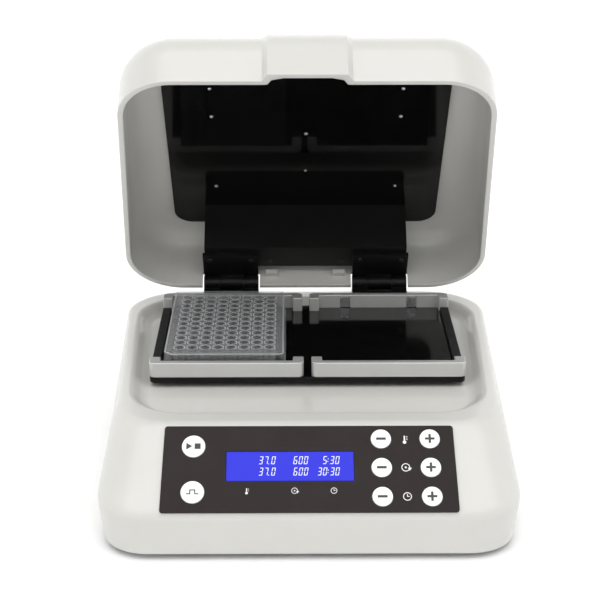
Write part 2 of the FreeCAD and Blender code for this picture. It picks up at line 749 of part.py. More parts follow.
def control_board():
    shape = slope_box(-Z.board_half_width, Z.board_half_width, Z.board_low, Z.board_high,
                      -Z.board_depth - Z.board_thickness, -Z.board_depth)
    chip = slope_box(-40, -26, 20, 34, -Z.board_depth - Z.board_thickness - 2,
                     -Z.board_depth - Z.board_thickness)
    socket = slope_box(8, 34, 12, 18, -Z.board_depth - Z.board_thickness - 6,
                       -Z.board_depth - Z.board_thickness)
    shape = shape.fuse(chip).fuse(socket)
    # a soldered push switch behind every key
    switch_base = -Z.board_depth
    for _, x, u, _ in KEYS:
        shape = shape.fuse(slope_box(x - 3, x + 3, u - 3, u + 3, switch_base, switch_base + 3.4))
        shape = shape.fuse(slope_cylinder(x, u, 1.7, switch_base + 3.4, switch_base + 3.9))
    for x, u in BOARD_POSTS:
        shape = shape.cut(slope_cylinder(x, u, 1.4, -20, 0))
    return keep("control_board", feature("control_board", shape.removeSplitter()))


control_board()
board_back = -Z.board_depth - Z.board_thickness
screws("housing_inner_screws",
       [on_slope(x, u, board_back) * Placement(Vector(), ALONG["-z"]) for x, u in BOARD_POSTS]
       + at_points(HINGE_SCREWS, float(Z.land_height - Z.housing_wall), "-z"),
       1.08, 5.2, head_radius=2.3, head_height=1.4)


# ==== electronics on the base plate and the rear panel ====

board_floor = Z.foot_height + Z.base_plate_thickness
board_z = board_floor + 6
power = [box("power_pcb", (150.0, 62.0, Z.board_thickness), (-75.0, -104.0, board_z))]
power_top = board_z + Z.board_thickness
power.append(box("power_heatsink", (34.0, 12.0, 22.0), (-62.0, -66.0, power_top)))
power.append(box("power_terminals", (42.0, 9.0, 11.0), (18.0, -56.0, power_top)))
power.append(box("power_choke", (20.0, 18.0, 15.0), (44.0, -98.0, power_top)))
for number, x in enumerate((-8.0, 8.0)):
    power.append(cylinder("power_cap_%d" % number, 6.5, 20.0, (x, -92.0, power_top)))
keep("power_board", fuse("power_board_parts", power))
keep("transformer", fuse("transformer_parts", [
    box("transformer_core", (46.0, 30.0, 38.0), (-58.0, 106.0, Z.foot_height + 1.5)),
    box("transformer_bobbin", (32.0, 35.6, 26.0), (-51.0, 103.2, Z.foot_height + 7.5))]))
board_post_points = [(x, y) for x in (-70, 70) for y in (-99, -47)]
board_spacers = [cylinder("spacer_%d" % i, 3.0, 6.0, (x, y, board_floor))
                 for i, (x, y) in enumerate(board_post_points)]


def mains_inlet():
    """Three-blade appliance inlet: a flanged shroud with an open mouth to the rear."""
    x, z, rear = float(Z.inlet_x), float(Z.fitting_z), float(Z.half_depth)
    flange = Part.makeBox(33, 2.4, 25.4, Vector(x - 16.5, rear + 0.1, z - 12.7))
    flange = flange.makeFillet(3, [e for e in flange.Edges if abs(e.Length - 2.4) < 1e-6])
    shroud = Part.makeBox(27.6, 20, 20, Vector(x - 13.8, rear - 19.5, z - 10))
    mouth = Part.makeBox(24.6, 16, 17, Vector(x - 12.3, rear - 13, z - 8.5))
    mouth = mouth.makeChamfer(3.4, [e for e in mouth.Edges
                                    if abs(e.Length - 16) < 1e-6 and e.CenterOfMass.z > z])
    shape = flange.fuse(shroud).cut(mouth)
    for dx, dz in ((-7, -1.0), (7, -1.0), (0, 2.4)):
        blade = Part.makeBox(2, 30, 4, Vector(x + dx - 1, rear - 28, z + dz - 0.5))
        shape = shape.fuse(blade.common(Part.makeBox(60, 27, 60, Vector(x - 30, rear - 30, z - 30))))
    return keep("mains_inlet", feature("mains_inlet", shape.removeSplitter()))


mains_inlet()


def power_switch():
    x, z, rear = float(Z.switch_x), float(Z.fitting_z), float(Z.half_depth)
    flange = Part.makeBox(21.5, 2, 15.5, Vector(x - 10.75, rear + 0.1, z - 7.75))
    flange = flange.makeFillet(1.2, [e for e in flange.Edges if abs(e.Length - 2) < 1e-6])
    well = Part.makeBox(19, 16, 13, Vector(x - 9.5, rear - 15.5, z - 6.5))
    opening = Part.makeBox(17.2, 9, 11.2, Vector(x - 8.6, rear - 6.5, z - 5.6))
    shape = flange.fuse(well).cut(opening)
    for dx in (-5, 0, 5):
        shape = shape.fuse(Part.makeBox(0.8, 7, 4.8, Vector(x + dx - 0.4, rear - 22, z - 2.4)))
    pivot = rear - 3.0
    shape = shape.cut(Part.makeCylinder(1.25, 12.4, Vector(x, pivot, z - 6.2)))
    keep("power_switch_frame", feature("power_switch_frame", shape.removeSplitter()))
    # the rocker is a shallow vee that tips on two pins in the frame's walls
    half = 7.5
    tip = 4.2
    outline = [(-half, 0.0), (-half, tip + 2.2), (0, tip), (half, tip + 2.2), (half, 0.0), (0, -2.6)]
    vertices = [Vector(x + px, pivot + py, z - 5.2) for px, py in outline]
    rocker = Part.Face(Part.makePolygon(vertices + vertices[:1])).extrude(Vector(0, 0, 10.4))
    rocker.rotate(Vector(x, pivot, z), Vector(0, 0, 1), -ROCKER_TILT)
    rocker = rocker.fuse(Part.makeCylinder(1.2, 12.2, Vector(x, pivot, z - 6.1)))
    keep("power_rocker", feature("power_rocker", rocker))


ROCKER_TILT = 6.0
power_switch()
rear_face = Z.half_depth
keep("fuse_holder", fuse("fuse_holder_parts", [
    cylinder("fuse_barrel", 6.0, 30.0, (Z.fuse_x, rear_face - 28, Z.fitting_z), "+y"),
    cylinder("fuse_flange", 8.5, 1.8, (Z.fuse_x, rear_face + 0.1, Z.fitting_z), "+y"),
    cylinder("fuse_cap", 5.4, 5.5, (Z.fuse_x, rear_face + 0.1, Z.fitting_z), "+y")]))


# ==== orbital drive ====

axis_y = Z.tray_y - Z.orbit_radius
deck_top = Z.deck_low + Z.deck_thickness
idler_feet = four(Z.idler_x, Z.idler_y, axis_y)
standoffs = four(Z.standoff_x, Z.standoff_y, axis_y)
motor_bolts = [(sx * 13, axis_y + sy * 13) for sx in (-1, 1) for sy in (-1, 1)]
plate_body(
    "drive_deck", (-Z.deck_half_width, Z.deck_half_width),
    (axis_y - Z.deck_half_depth, axis_y + Z.deck_half_depth), Z.deck_low, Z.deck_thickness,
    corner=Size(8.0, "8"),
    holes=[(x, y, Z.idler_bearing) for x, y in idler_feet]
    + [(x, y, 2.1) for x, y in standoffs] + [(x, y, 1.8) for x, y in motor_bolts]
    + [(0, axis_y, Z.shaft_radius + 2)])
plate_top = Z.foot_height + Z.base_plate_thickness
keep("standoffs", group("standoffs_group", board_spacers + [
    cylinder("standoff_%d" % i, Z.standoff_radius, Z.deck_low - plate_top, (x, y, plate_top))
    for i, (x, y) in enumerate(standoffs)]))
screws("deck_screws", at_points(standoffs, deck_top) + at_points(motor_bolts, deck_top), 1.7, 5.8,
       head_radius=3.0, head_height=1.3)


def bearing(name, outer_radius, bore, height, at):
    """A shielded ball bearing as one ring with grooved faces."""
    x, y, z = at
    ring = cylinder(name + "_ring", outer_radius, height, at)
    hole = cylinder(name + "_bore", bore, height + 2, (x, y, z - 1))
    mid = (outer_radius + bore) / 2
    grooves = []
    for face, low in (("low", z - 1), ("high", z + height - 0.4)):
        wide = cylinder(name + "_groove_wide_" + face, mid + 1.2, 1.4, (x, y, low))
        core = cylinder(name + "_groove_core_" + face, mid - 1.2, 1.4, (x, y, low))
        grooves.append(cut(name + "_groove_" + face, wide, [core]))
    return cut(name, ring, [hole] + grooves)


keep("idler_deck_bearings", group("idler_deck_bearings_group", [
    bearing("deck_bearing_%d" % i, Z.idler_bearing, Z.idler_journal + Z.running_gap,
            Z.deck_thickness, (x, y, Z.deck_low)) for i, (x, y) in enumerate(idler_feet)]))

motor_high = Z.deck_low
lower_bearing = Z.motor_low + 1
upper_bearing = motor_high - 1 - Z.motor_bearing_height
motor_inner = Z.motor_radius - Z.motor_wall
seat = Z.motor_bearing + 2
keep("motor_housing", turned_body("motor_housing", [
    (Z.shaft_radius + 1, Z.motor_low), (Z.motor_radius, Z.motor_low), (Z.motor_radius, motor_high),
    (Z.shaft_radius + 1, motor_high), (Z.shaft_radius + 1, motor_high - 1),
    (Z.motor_bearing, motor_high - 1), (Z.motor_bearing, upper_bearing),
    (seat, upper_bearing), (seat, motor_high - 3), (motor_inner, motor_high - 3),
    (motor_inner, Z.motor_low + 3), (seat, Z.motor_low + 3),
    (seat, lower_bearing + Z.motor_bearing_height),
    (Z.motor_bearing, lower_bearing + Z.motor_bearing_height),
    (Z.motor_bearing, lower_bearing), (Z.shaft_radius + 1, lower_bearing)], (0, axis_y, 0)))
keep("motor_bearings", group("motor_bearings_group", [
    bearing("motor_bearing_" + word, Z.motor_bearing, Z.shaft_radius + Z.running_gap,
            Z.motor_bearing_height, (0, axis_y, z))
    for word, z in (("low", lower_bearing), ("high", upper_bearing))]))


def motor_stator():
    """Laminated ring with nine poles that face the rotor."""
    low, height = float(Z.motor_low) + 5, 15.0
    ring = Part.makeCylinder(float(motor_inner) - 0.02, height, Vector(0, 0, low))
    shape = ring.cut(Part.makeCylinder(float(motor_inner) - 4, height, Vector(0, 0, low)))
    for pole in range(9):
        tooth = Part.makeBox(8.5, 4.2, height, Vector(16.6, -2.1, low))
        tooth.rotate(Vector(0, 0, 0), Vector(0, 0, 1), 40 * pole)
        shape = shape.fuse(tooth)
    shape.translate(Vector(0, float(axis_y), 0))
    return keep("motor_stator", feature("motor_stator", shape.removeSplitter()))


motor_stator()
rotor_low, rotor_high = Z.motor_low + 5.5, Z.motor_low + 19.5
keep("motor_rotor", turned_body("motor_rotor", [
    (Z.shaft_radius + 0.01, rotor_low + 3), (7.0, rotor_low + 3), (7.0, rotor_low + 5),
    (15.8, rotor_low + 5), (15.8, rotor_high - 4), (7.0, rotor_high - 4),
    (7.0, rotor_high - 5), (Z.shaft_radius + 0.01, rotor_high - 5)], (0, axis_y, 0)))
keep("motor_shaft", cylinder("motor_shaft_rod", Z.shaft_radius, Z.hub_high - 1 - lower_bearing,
                             (0, axis_y, lower_bearing)))


def eccentric_hub():
    """Hub on the motor shaft with the pin that carries the tray, one throw off its axis."""
    body = doc.addObject("PartDesign::Body", "eccentric_hub_body")
    outline = new_sketch(body, "eccentric_hub_outline", offset=Z.hub_low)
    draw_circle(outline, 0, 0, Z.hub_radius)
    pad(body, outline, Z.hub_high - Z.hub_low, "eccentric_hub_disc")
    bore = new_sketch(body, "eccentric_hub_bore", offset=Z.hub_low)
    draw_circle(bore, 0, 0, Z.shaft_radius + 0.005)
    doc.recompute()
    before = body.Shape.Volume
    hole = body.newObject("PartDesign::Pocket", "eccentric_hub_hole")
    hole.Profile = bore
    hole.Reversed = True
    hole.setExpression("Length", text_of(Z.hub_high - 1 - Z.hub_low))
    doc.recompute()
    if body.Shape.Volume >= before:
        raise RuntimeError("the hub's bore removed nothing")
    crank = new_sketch(body, "eccentric_hub_crank", offset=Z.hub_high)
    draw_circle(crank, 0, Z.orbit_radius, Z.pin_radius)
    pad(body, crank, Z.carrier_low + Z.carrier_thickness - Z.hub_high, "eccentric_hub_pin")
    put(body, (0, axis_y, 0))
    return keep("eccentric_hub", body)


eccentric_hub()


def counterweight():
    """Heavy sector on the hub, opposite the pin."""
    low, height = float(Z.hub_low) + 0.5, 6.0
    disc = Part.makeCylinder(float(Z.weight_radius), height, Vector(0, 0, low))
    sector = disc.common(Part.makeBox(60, 30, height, Vector(-30, -32, low)))
    collar = Part.makeCylinder(float(Z.hub_radius) + 4, height, Vector(0, 0, low))
    shape = sector.fuse(collar)
    shape = shape.cut(Part.makeCylinder(float(Z.hub_radius) + 0.005, height, Vector(0, 0, low)))
    shape.translate(Vector(0, float(axis_y), 0))
    return keep("counterweight", feature("counterweight", shape.removeSplitter()))


counterweight()

carrier_top = Z.carrier_low + Z.carrier_thickness
for name, (x, y) in zip(("front_left", "rear_left", "front_right", "rear_right"), idler_feet):
    journal = Z.idler_journal
    parts = [
        cylinder("idler_low_" + name, journal, Z.deck_thickness + 1, (x, y, Z.deck_low)),
        cylinder("idler_web_" + name, Z.idler_web, 7.6, (x, y + Z.orbit_radius / 2, deck_top + 1)),
        cylinder("idler_high_" + name, journal, carrier_top - deck_top - 8,
                 (x, y + Z.orbit_radius, deck_top + 8))]
    keep("idler_crank_" + name, fuse("idler_crank_parts_" + name, parts))

idler_heads = four(Z.idler_x, Z.idler_y, Z.tray_y)
posts = four(Z.post_x, Z.post_y, Z.tray_y)
plate_body(
    "orbit_carrier", (-Z.carrier_half_width, Z.carrier_half_width),
    (Z.tray_y - Z.carrier_half_depth, Z.tray_y + Z.carrier_half_depth),
    Z.carrier_low, Z.carrier_thickness, corner=Size(10.0, "10"),
    holes=[(x, y, Z.idler_bearing) for x, y in idler_heads] + [(x, y, 2.1) for x, y in posts]
    + [(0, Z.tray_y, Z.pin_bearing)],
    windows=[(-44, -22, Z.tray_y - 20, Z.tray_y + 20), (22, 44, Z.tray_y - 20, Z.tray_y + 20)])
keep("carrier_bearings", group("carrier_bearings_group", [
    bearing("carrier_bearing_%d" % i, Z.idler_bearing, Z.idler_journal + Z.running_gap,
            Z.carrier_thickness, (x, y, Z.carrier_low)) for i, (x, y) in enumerate(idler_heads)]
    + [bearing("pin_bearing", Z.pin_bearing, Z.pin_radius + Z.running_gap,
               Z.carrier_thickness, (0, Z.tray_y, Z.carrier_low))]))
keep("tray_posts", group("tray_posts_group", [
    cylinder("tray_post_%d" % i, Z.post_radius, Z.tray_low - carrier_top, (x, y, carrier_top))
    for i, (x, y) in enumerate(posts)]))
screws("carrier_screws", at_points(posts, Z.carrier_low, "-z"), 2.0, 5.8,
       head_radius=3.6, head_height=2.2)


# ==== tray ====

tray_top = Z.tray_low + Z.tray_thickness
tray_front, tray_rear = Z.tray_y - Z.tray_half_depth, Z.tray_y + Z.tray_half_depth
plate_body("tray_plate", (-Z.tray_half_width, Z.tray_half_width), (tray_front, tray_rear),
           Z.tray_low, Z.tray_thickness, corner=Z.tray_corner)

position_x = (Z.tray_half_width + Z.centre_gap) / 2
mats = []
for side in (-1, 1):
    mat = box("mat_%d" % side, (84.0, 112.0, Z.mat_thickness),
              (side * position_x - 42, Z.tray_y - 56, Z.tray_low - Z.mat_thickness))
    holes = [cylinder("mat_hole_%d_%d" % (side, i), Z.post_radius + 1, 4.0,
                      (x, y, Z.tray_low - 3))
             for i, (x, y) in enumerate(posts) if float(x) * side > 0]
    mats.append(cut("mat_cut_%d" % side, mat, holes))
keep("tray_heater_mats", group("tray_heater_mats_group", mats))


def fence(label, side, end):
    """One bracket-shaped fence: side is -1 or 1 in x, end is -1 front or 1 rear."""
    x0, x1 = side * Z.centre_gap, side * Z.tray_half_width
    width = side * Z.fence_return_width
    face = Z.tray_y + end * Z.tray_half_depth
    wall = face - end * Z.fence_wall
    tip = face - end * Z.fence_return_depth
    body = doc.addObject("PartDesign::Body", label + "_body")
    sketch = new_sketch(body, label + "_outline", offset=tray_top)
    draw_polygon(sketch, [
        (x0, face), (x1, face), (x1, tip), (x1 - width, tip),
        (x1 - width, wall), (x0 + width, wall), (x0 + width, tip), (x0, tip)])
    bar = pad(body, sketch, Z.fence_top - tray_top, label + "_pad")
    round_uprights(body, bar, Z.tray_corner - 1, label + "_corners",
                   lambda x, y: abs(y - float(face)) < 1e-6)
    put(body)
    if end < 0:
        return keep(label, body)
    # seats for the spring clips that push the microplate against the front fence
    seats = [box("%s_seat_%d" % (label, i),
                 (Z.clip_width, 1.0, 9.0),
                 (side * position_x + k * Z.clip_spacing - Z.clip_width / 2, wall, tray_top))
             for i, k in enumerate((-1, 1))]
    return keep(label, cut(label + "_cut", body, seats))


for side, word in ((-1, "left"), (1, "right")):
    fence("front_fence_" + word, side, -1)
    fence("rear_fence_" + word, side, 1)

clip_face = Z.tray_y + Z.tray_half_depth - Z.fence_wall
clips = []
for side in (-1, 1):
    for k in (-1, 1):
        name = "clip_%d_%d" % (side + 1, k + 1)
        middle = side * position_x + k * Z.clip_spacing
        clips.append(box(name, (Z.clip_width - 0.4, 0.8, 8.4),
                         (middle - Z.clip_width / 2 + 0.2, clip_face + 0.1, tray_top + 0.3)))
keep("plate_spring_clips", group("plate_spring_clips_group", clips))

rail_y = Z.tray_y - Z.tray_half_depth + Z.fence_return_depth
rail_length = 2 * (Z.tray_half_depth - Z.fence_return_depth)
keep("side_rails", group("side_rails_group", [
    box("side_rail_%d" % (side + 1), (Z.rail_width, rail_length, Z.rail_height),
        (side * (Z.tray_half_width - Z.rail_width / 2) - Z.rail_width / 2, rail_y, tray_top))
    for side in (-1, 1)]))


def microplate():
    """96-well plate: a skirt on a foot flange, a deck, and wells hanging from the deck."""
    width, length, height = float(Z.plate_width), float(Z.plate_length), float(Z.plate_height)
    step, flange, wall = float(Z.plate_step), float(Z.plate_flange), float(Z.plate_wall)

    def block(inset, low, high, corner, cut_corner=0.0):
        half_w, half_l = width / 2 - inset, length / 2 - inset
        points = [(-half_w + cut_corner, -half_l, 0.6 if cut_corner else corner),
                  (half_w, -half_l, corner), (half_w, half_l, corner),
                  (-half_w, half_l, corner)]
        if cut_corner:
            points.append((-half_w, -half_l + cut_corner, 0.6))
        return prism(rounded_wire(points, low), high - low)

    body = block(0, 0, flange, 3.2).fuse(block(step, 0, height, 3.0, 5.0))
    hollow = block(step + wall, -1, height - wall, 2.0, 4.6)
    body = body.cut(hollow)
    centres = [Vector((column - 3.5) * float(Z.well_pitch), (line - 5.5) * float(Z.well_pitch), 0)
               for column in range(8) for line in range(12)]
    outer_low = height - float(Z.well_depth) - wall
    tubes, bores = [], []
    for centre in centres:
        low = centre + Vector(0, 0, outer_low)
        tubes.append(Part.makeCylinder(float(Z.well_radius) + 0.7, height - outer_low - 0.4, low))
        bores.append(Part.makeCylinder(float(Z.well_radius), float(Z.well_depth) + 1,
                                       centre + Vector(0, 0, height - float(Z.well_depth))))
    body = body.fuse(tubes).cut(Part.makeCompound(bores)).removeSplitter()
    place = Placement(Vector(-float(Z.plate_x), float(Z.tray_y), float(tray_top) + 0.02), Rotation())
    return keep("microplate", feature("microplate", body, place))


microplate()


# ==== hinge, base side ====

HINGE = Vector(0, float(Z.hinge_y), float(Z.hinge_z))
OPENED = Placement(Vector(0, 0, 0), Rotation(Vector(1, 0, 0), -float(Z.lid_open)), HINGE)


def knuckle(x0, x1, bore=True):
    shape = Part.makeCylinder(float(Z.barrel_radius), x1 - x0, HINGE + Vector(x0, 0, 0), Vector(1, 0, 0))
    if bore:
        shape = shape.cut(Part.makeCylinder(float(Z.hinge_pin_radius + Z.running_gap), x1 - x0,
                                            HINGE + Vector(x0, 0, 0), Vector(1, 0, 0)))
    return shape


def base_hinge(side):
    """Leaf on the rim with the two outer knuckles of a friction hinge."""
    inner, outer = float(Z.hinge_inner), float(Z.hinge_outer)
    thick, land = float(Z.leaf_thickness), float(Z.land_height)
    half = float(Z.knuckle_half)
    front, hinge_y = float(Z.recess_rear) + 0.8, float(Z.hinge_y)
    shape = Part.makeBox(outer - inner, 5.6, thick, Vector(inner, front, land))
    for x0, x1 in ((inner, HINGE_MID - half), (HINGE_MID + half, outer)):
        tongue = Part.makeBox(x1 - x0, hinge_y - 1.5 - front, thick, Vector(x0, front, land))
        web = Part.makeBox(x1 - x0, 7.0, 4.4, Vector(x0, hinge_y - 7.4, land))
        shape = shape.fuse(tongue).fuse(web).fuse(knuckle(x0, x1, bore=False))
    pin_hole = Part.makeCylinder(float(Z.hinge_pin_radius) + 0.005, outer - inner,
                                 HINGE + Vector(inner, 0, 0), Vector(1, 0, 0))
    shape = shape.cut(pin_hole)
    for x, y in HINGE_SCREWS:
        if x > 0:
            shape = shape.cut(Part.makeCylinder(1.3, 3.0, Vector(x, y, land - 0.5)))
    if side < 0:
        shape = shape.mirror(Vector(0, 0, 0), Vector(1, 0, 0))
    return shape.removeSplitter()


keep("base_hinges", feature("base_hinges", Part.makeCompound([base_hinge(-1), base_hinge(1)])))
pins = []
for side in (-1, 1):
    start = Z.hinge_inner if side > 0 else -Z.hinge_outer
    pins.append(cylinder("hinge_pin_%d" % (side + 1), Z.hinge_pin_radius,
                         Z.hinge_outer - Z.hinge_inner, (start, Z.hinge_y, Z.hinge_z), "+x"))
keep("hinge_pins", group("hinge_pins_group", pins))


# ==== hood ====

RIM = float(Z.land_height + Z.lid_gap)


def from_rear(reach):
    """World y of a distance measured forward from the hood's rear face."""
    return float(Z.lid_rear) - float(reach)


def hood_dome(inset, low):
    corner_f, corner_r = float(Z.lid_front_corner), float(Z.lid_rear_corner)
    wire = trapezium(float(Z.lid_front) - inset, float(Z.lid_rear) - inset,
                     float(Z.lid_front_half_width) - inset, float(Z.lid_rear_half_width) - inset,
                     corner_f - inset, corner_r - inset, low)
    top = RIM + float(Z.lid_height) - inset
    solid = prism(wire, top - low)
    return solid.makeFillet(float(Z.lid_round) - inset, edges_at_height(solid, top))


def tab_form(inset, low):
    """Finger tab: it stands proud of the front wall and fades out on the top."""
    front = -float(Z.lid_front)
    proud, proud_high = float(Z.tab_proud) - inset, float(Z.tab_proud_high) - inset
    radius = float(Z.lid_round)
    top = RIM + float(Z.lid_height)
    centre_y, centre_z = front + radius, top - radius
    diagonal = (radius + proud_high) * math.sqrt(0.5)
    x = -float(Z.tab_half_width) + inset
    start = Vector(x, front - proud_high - 0.9, centre_z - 4)
    middle = Vector(x, centre_y - diagonal, centre_z + diagonal)
    end = Vector(x, centre_y + 8, top - inset - 0.05)
    inside = Vector(x, centre_y + 8, low)
    foot = Vector(x, front - proud, low)
    edges = [Part.LineSegment(foot, start).toShape(), Part.Arc(start, middle, end).toShape(),
             Part.LineSegment(end, inside).toShape(), Part.LineSegment(inside, foot).toShape()]
    return Part.Face(Part.Wire(edges)).extrude(Vector(-2 * x, 0, 0))


def lid_shell():
    dome = hood_dome(0.0, RIM).fuse(tab_form(0.0, RIM))
    hollow = hood_dome(float(Z.lid_wall), RIM - 5)
    shape = dome.cut(hollow).cut(tab_form(float(Z.lid_wall), RIM - 5))
    for side in (-1, 1):
        x0 = float(Z.notch_inner) if side > 0 else -float(Z.notch_outer)
        notch = Part.makeBox(float(Z.notch_outer - Z.notch_inner), 20, float(Z.notch_height) + 5,
                             Vector(x0, from_rear(12), RIM - 5))
        shape = shape.cut(notch)
    return keep("lid_shell", feature("lid_shell", shape.removeSplitter(), OPENED))


lid_shell()

# small screws that hold the heated plate: x, and distance from the hood's rear face
LID_SCREWS = [(side * 68.7, reach) for side in (-1, 1) for reach in (67.6, 150.1, 180.5)]
LID_SCREWS += [(0.0, 86.5), (0.0, 130.5)]
plate_low_z = Z.land_height + Z.lid_gap + Z.lid_plate_depth
plate_rear = Z.lid_rear - Z.lid_plate_rear
lid_plate = plate_body(
    "lid_heater_plate", (-Z.lid_plate_half_width, Z.lid_plate_half_width),
    (plate_rear - Z.lid_plate_length, plate_rear), plate_low_z, Z.lid_plate_thickness,
    corner=Z.lid_plate_corner,
    holes=[(x, from_rear(reach), 0.95) for x, reach in LID_SCREWS])
settle(lid_plate, OPENED)
mat_z = plate_low_z + Z.lid_plate_thickness
lid_mat = plate_body("lid_heater_mat", (-84.0, 84.0), (plate_rear - 185, plate_rear - 18),
                     mat_z, Size(0.6, "0.6"), corner=Size(6.0, "6"))
settle(lid_mat, OPENED)


screws("lid_plate_screws",
       [OPENED * Placement(Vector(x, from_rear(reach), float(plate_low_z)), ALONG["-z"])
        for x, reach in LID_SCREWS], 0.9, 1.4, head_radius=2.1, head_height=0.9)


# screws in the cover's shelf: x, distance from the rear face, and height of the head's seat
leaf_screw_x = (float(Z.hinge_inner) + 5.5, float(Z.hinge_outer) - 5.5)
COVER_SCREWS = [(x, 21.4, float(Z.cover_low)) for x in (-28.0, 28.0)]
COVER_SCREWS += [(side * x, 25.5, float(Z.cover_low - Z.leaf_thickness))
                 for side in (-1, 1) for x in leaf_screw_x]


def hinge_cover():
    """Bent steel cover over the hinges: a leaning front, two sides and a lower shelf."""
    def at(reach, rise):
        return (from_rear(reach), RIM + float(rise))
    wall, low, top = float(Z.cover_wall), float(Z.cover_low), float(Z.lid_plate_depth)
    half = float(Z.cover_half_width)
    outer = [at(Z.cover_top_reach, top), at(Z.cover_low_reach, low), at(5.3, low), at(5.3, 27),
             at(13, 41), at(26, top)]
    inner = [at(Z.cover_top_reach - wall, top + 1), at(Z.cover_low_reach - wall, low + wall),
             at(Z.cover_shelf, low + wall), at(Z.cover_shelf, low - 1), at(4, low - 1),
             at(4, 60), at(26, 60)]
    shape = profile_solid(outer, -half, half).cut(profile_solid(inner, -half + wall, half - wall))
    for x, reach, _ in COVER_SCREWS:
        shape = shape.cut(Part.makeCylinder(1.5, 10, Vector(x, from_rear(reach), RIM + low - 2)))
    return keep("hinge_cover", feature("hinge_cover", shape.removeSplitter(), OPENED))


hinge_cover()


def lid_hinge(side):
    """Leaf under the cover's shelf with the middle knuckle of the friction hinge."""
    inner, outer = float(Z.hinge_inner), float(Z.hinge_outer)
    thick, half = float(Z.leaf_thickness), float(Z.knuckle_half - Z.knuckle_gap)
    low = RIM + float(Z.cover_low) - thick
    back = from_rear(6.5)
    front = from_rear(Z.leaf_reach)
    shape = Part.makeBox(outer - inner, back - front, thick, Vector(inner, front, low))
    neck = Part.makeBox(2 * half, float(Z.hinge_y) - back + 3.0, thick,
                        Vector(HINGE_MID - half, back - 3.0, low))
    x0, x1 = HINGE_MID - half, HINGE_MID + half
    web = Part.makeBox(2 * half, 7.0, 6.0, Vector(x0, float(Z.hinge_y) - 7.0, low - 2.9))
    shape = shape.fuse(neck).fuse(web.common(Part.makeBox(100, 100, 100, Vector(0, from_rear(8), low - 4))))
    shape = shape.fuse(knuckle(x0, x1, bore=False))
    shape = shape.cut(Part.makeCylinder(float(Z.hinge_pin_radius + Z.running_gap), 60,
                                        HINGE + Vector(inner - 5, 0, 0), Vector(1, 0, 0)))
    for x in leaf_screw_x:
        shape = shape.cut(Part.makeCylinder(1.5, 10, Vector(x, from_rear(25.5), low - 2)))
    if side < 0:
        shape = shape.mirror(Vector(0, 0, 0), Vector(1, 0, 0))
    return shape.removeSplitter()


keep("lid_hinges", feature("lid_hinges", Part.makeCompound([lid_hinge(-1), lid_hinge(1)]), OPENED))
screws("lid_hinge_screws",
       [OPENED * Placement(Vector(x, from_rear(reach), RIM + rise), ALONG["-z"])
        for x, reach, rise in COVER_SCREWS], 1.4, 4.2, head_radius=2.7, head_height=1.2)


# ==== check and write ====

doc.recompute()
faults = [obj.Name for obj in doc.Objects if "Invalid" in obj.State or "Error" in obj.State]
for obj in NODES:
    if obj.Shape.isNull() or not obj.Shape.isValid() or not obj.Shape.Solids:
        faults.append(obj.Label)
if faults:
    raise RuntimeError("not built: " + ", ".join(faults))
if len({obj.Label for obj in NODES}) != len(NODES):
    raise RuntimeError("two sub-parts share a label")

os.makedirs("parts", exist_ok=True)
for obj in NODES:
    obj.Shape.exportStep("parts/%s.step" % obj.Label)
print(len(NODES), "nodes written")
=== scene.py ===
import json
import math

import bmesh
import bpy
from mathutils import Matrix, Vector
from mathutils.geometry import tessellate_polygon


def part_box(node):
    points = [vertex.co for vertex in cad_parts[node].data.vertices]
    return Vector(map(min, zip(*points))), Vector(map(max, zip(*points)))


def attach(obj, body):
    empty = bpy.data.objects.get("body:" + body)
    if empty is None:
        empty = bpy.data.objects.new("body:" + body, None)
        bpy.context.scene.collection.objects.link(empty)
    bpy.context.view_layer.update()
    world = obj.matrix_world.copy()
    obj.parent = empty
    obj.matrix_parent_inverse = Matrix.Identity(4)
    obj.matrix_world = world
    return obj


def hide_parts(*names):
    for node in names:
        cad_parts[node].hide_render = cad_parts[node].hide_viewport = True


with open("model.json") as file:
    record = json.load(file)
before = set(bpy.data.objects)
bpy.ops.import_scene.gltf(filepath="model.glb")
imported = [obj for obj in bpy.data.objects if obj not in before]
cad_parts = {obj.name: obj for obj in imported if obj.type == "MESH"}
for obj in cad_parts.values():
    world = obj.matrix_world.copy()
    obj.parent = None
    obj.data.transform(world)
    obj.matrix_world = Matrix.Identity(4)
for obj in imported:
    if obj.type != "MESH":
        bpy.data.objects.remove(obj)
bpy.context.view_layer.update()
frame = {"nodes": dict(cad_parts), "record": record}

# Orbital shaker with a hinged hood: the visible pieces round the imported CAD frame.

MM = 0.001

# ---- places: shapes are drawn in millimetres, counted from the footprint's centre ----

TRAY_Y, TRAY_HALF_X, TRAY_HALF_Y, TRAY_TOP = 39.55, 109.0, 69.3, 74.5
tray_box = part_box("tray_plate")
SHIFT = (tray_box[0].y + tray_box[1].y) / 2 / MM - TRAY_Y
TO_FRAME = Matrix.Translation((0, SHIFT * MM, 0)) @ Matrix.Scale(MM, 4)
LID_OPEN = 53.8
HINGE, HINGE_X = Vector((0, 143.75, 80.7)), 58.5
HOOD = (Matrix.Translation(HINGE) @ Matrix.Rotation(math.radians(-LID_OPEN), 4, "X")
        @ Matrix.Translation(-HINGE))
HALF_DEPTH, CREASE, LAND, LAND_FRONT = 148.25, 32.0, 74.0, 102.35
RECESS_FLOOR = 66.8
SLOPE_ANGLE = math.atan2(LAND - CREASE, HALF_DEPTH - LAND_FRONT)
SLOPE = (Matrix.Translation((0, -HALF_DEPTH, CREASE)) @ Matrix.Rotation(SLOPE_ANGLE, 4, "X"))
RIM, LID_REAR = 74.6, 142.25
# left, right, low and high edge, on the slope
DISPLAY_OPENING = (-52.7, 28.5, 22.35, 42.25)


# ---- materials ----

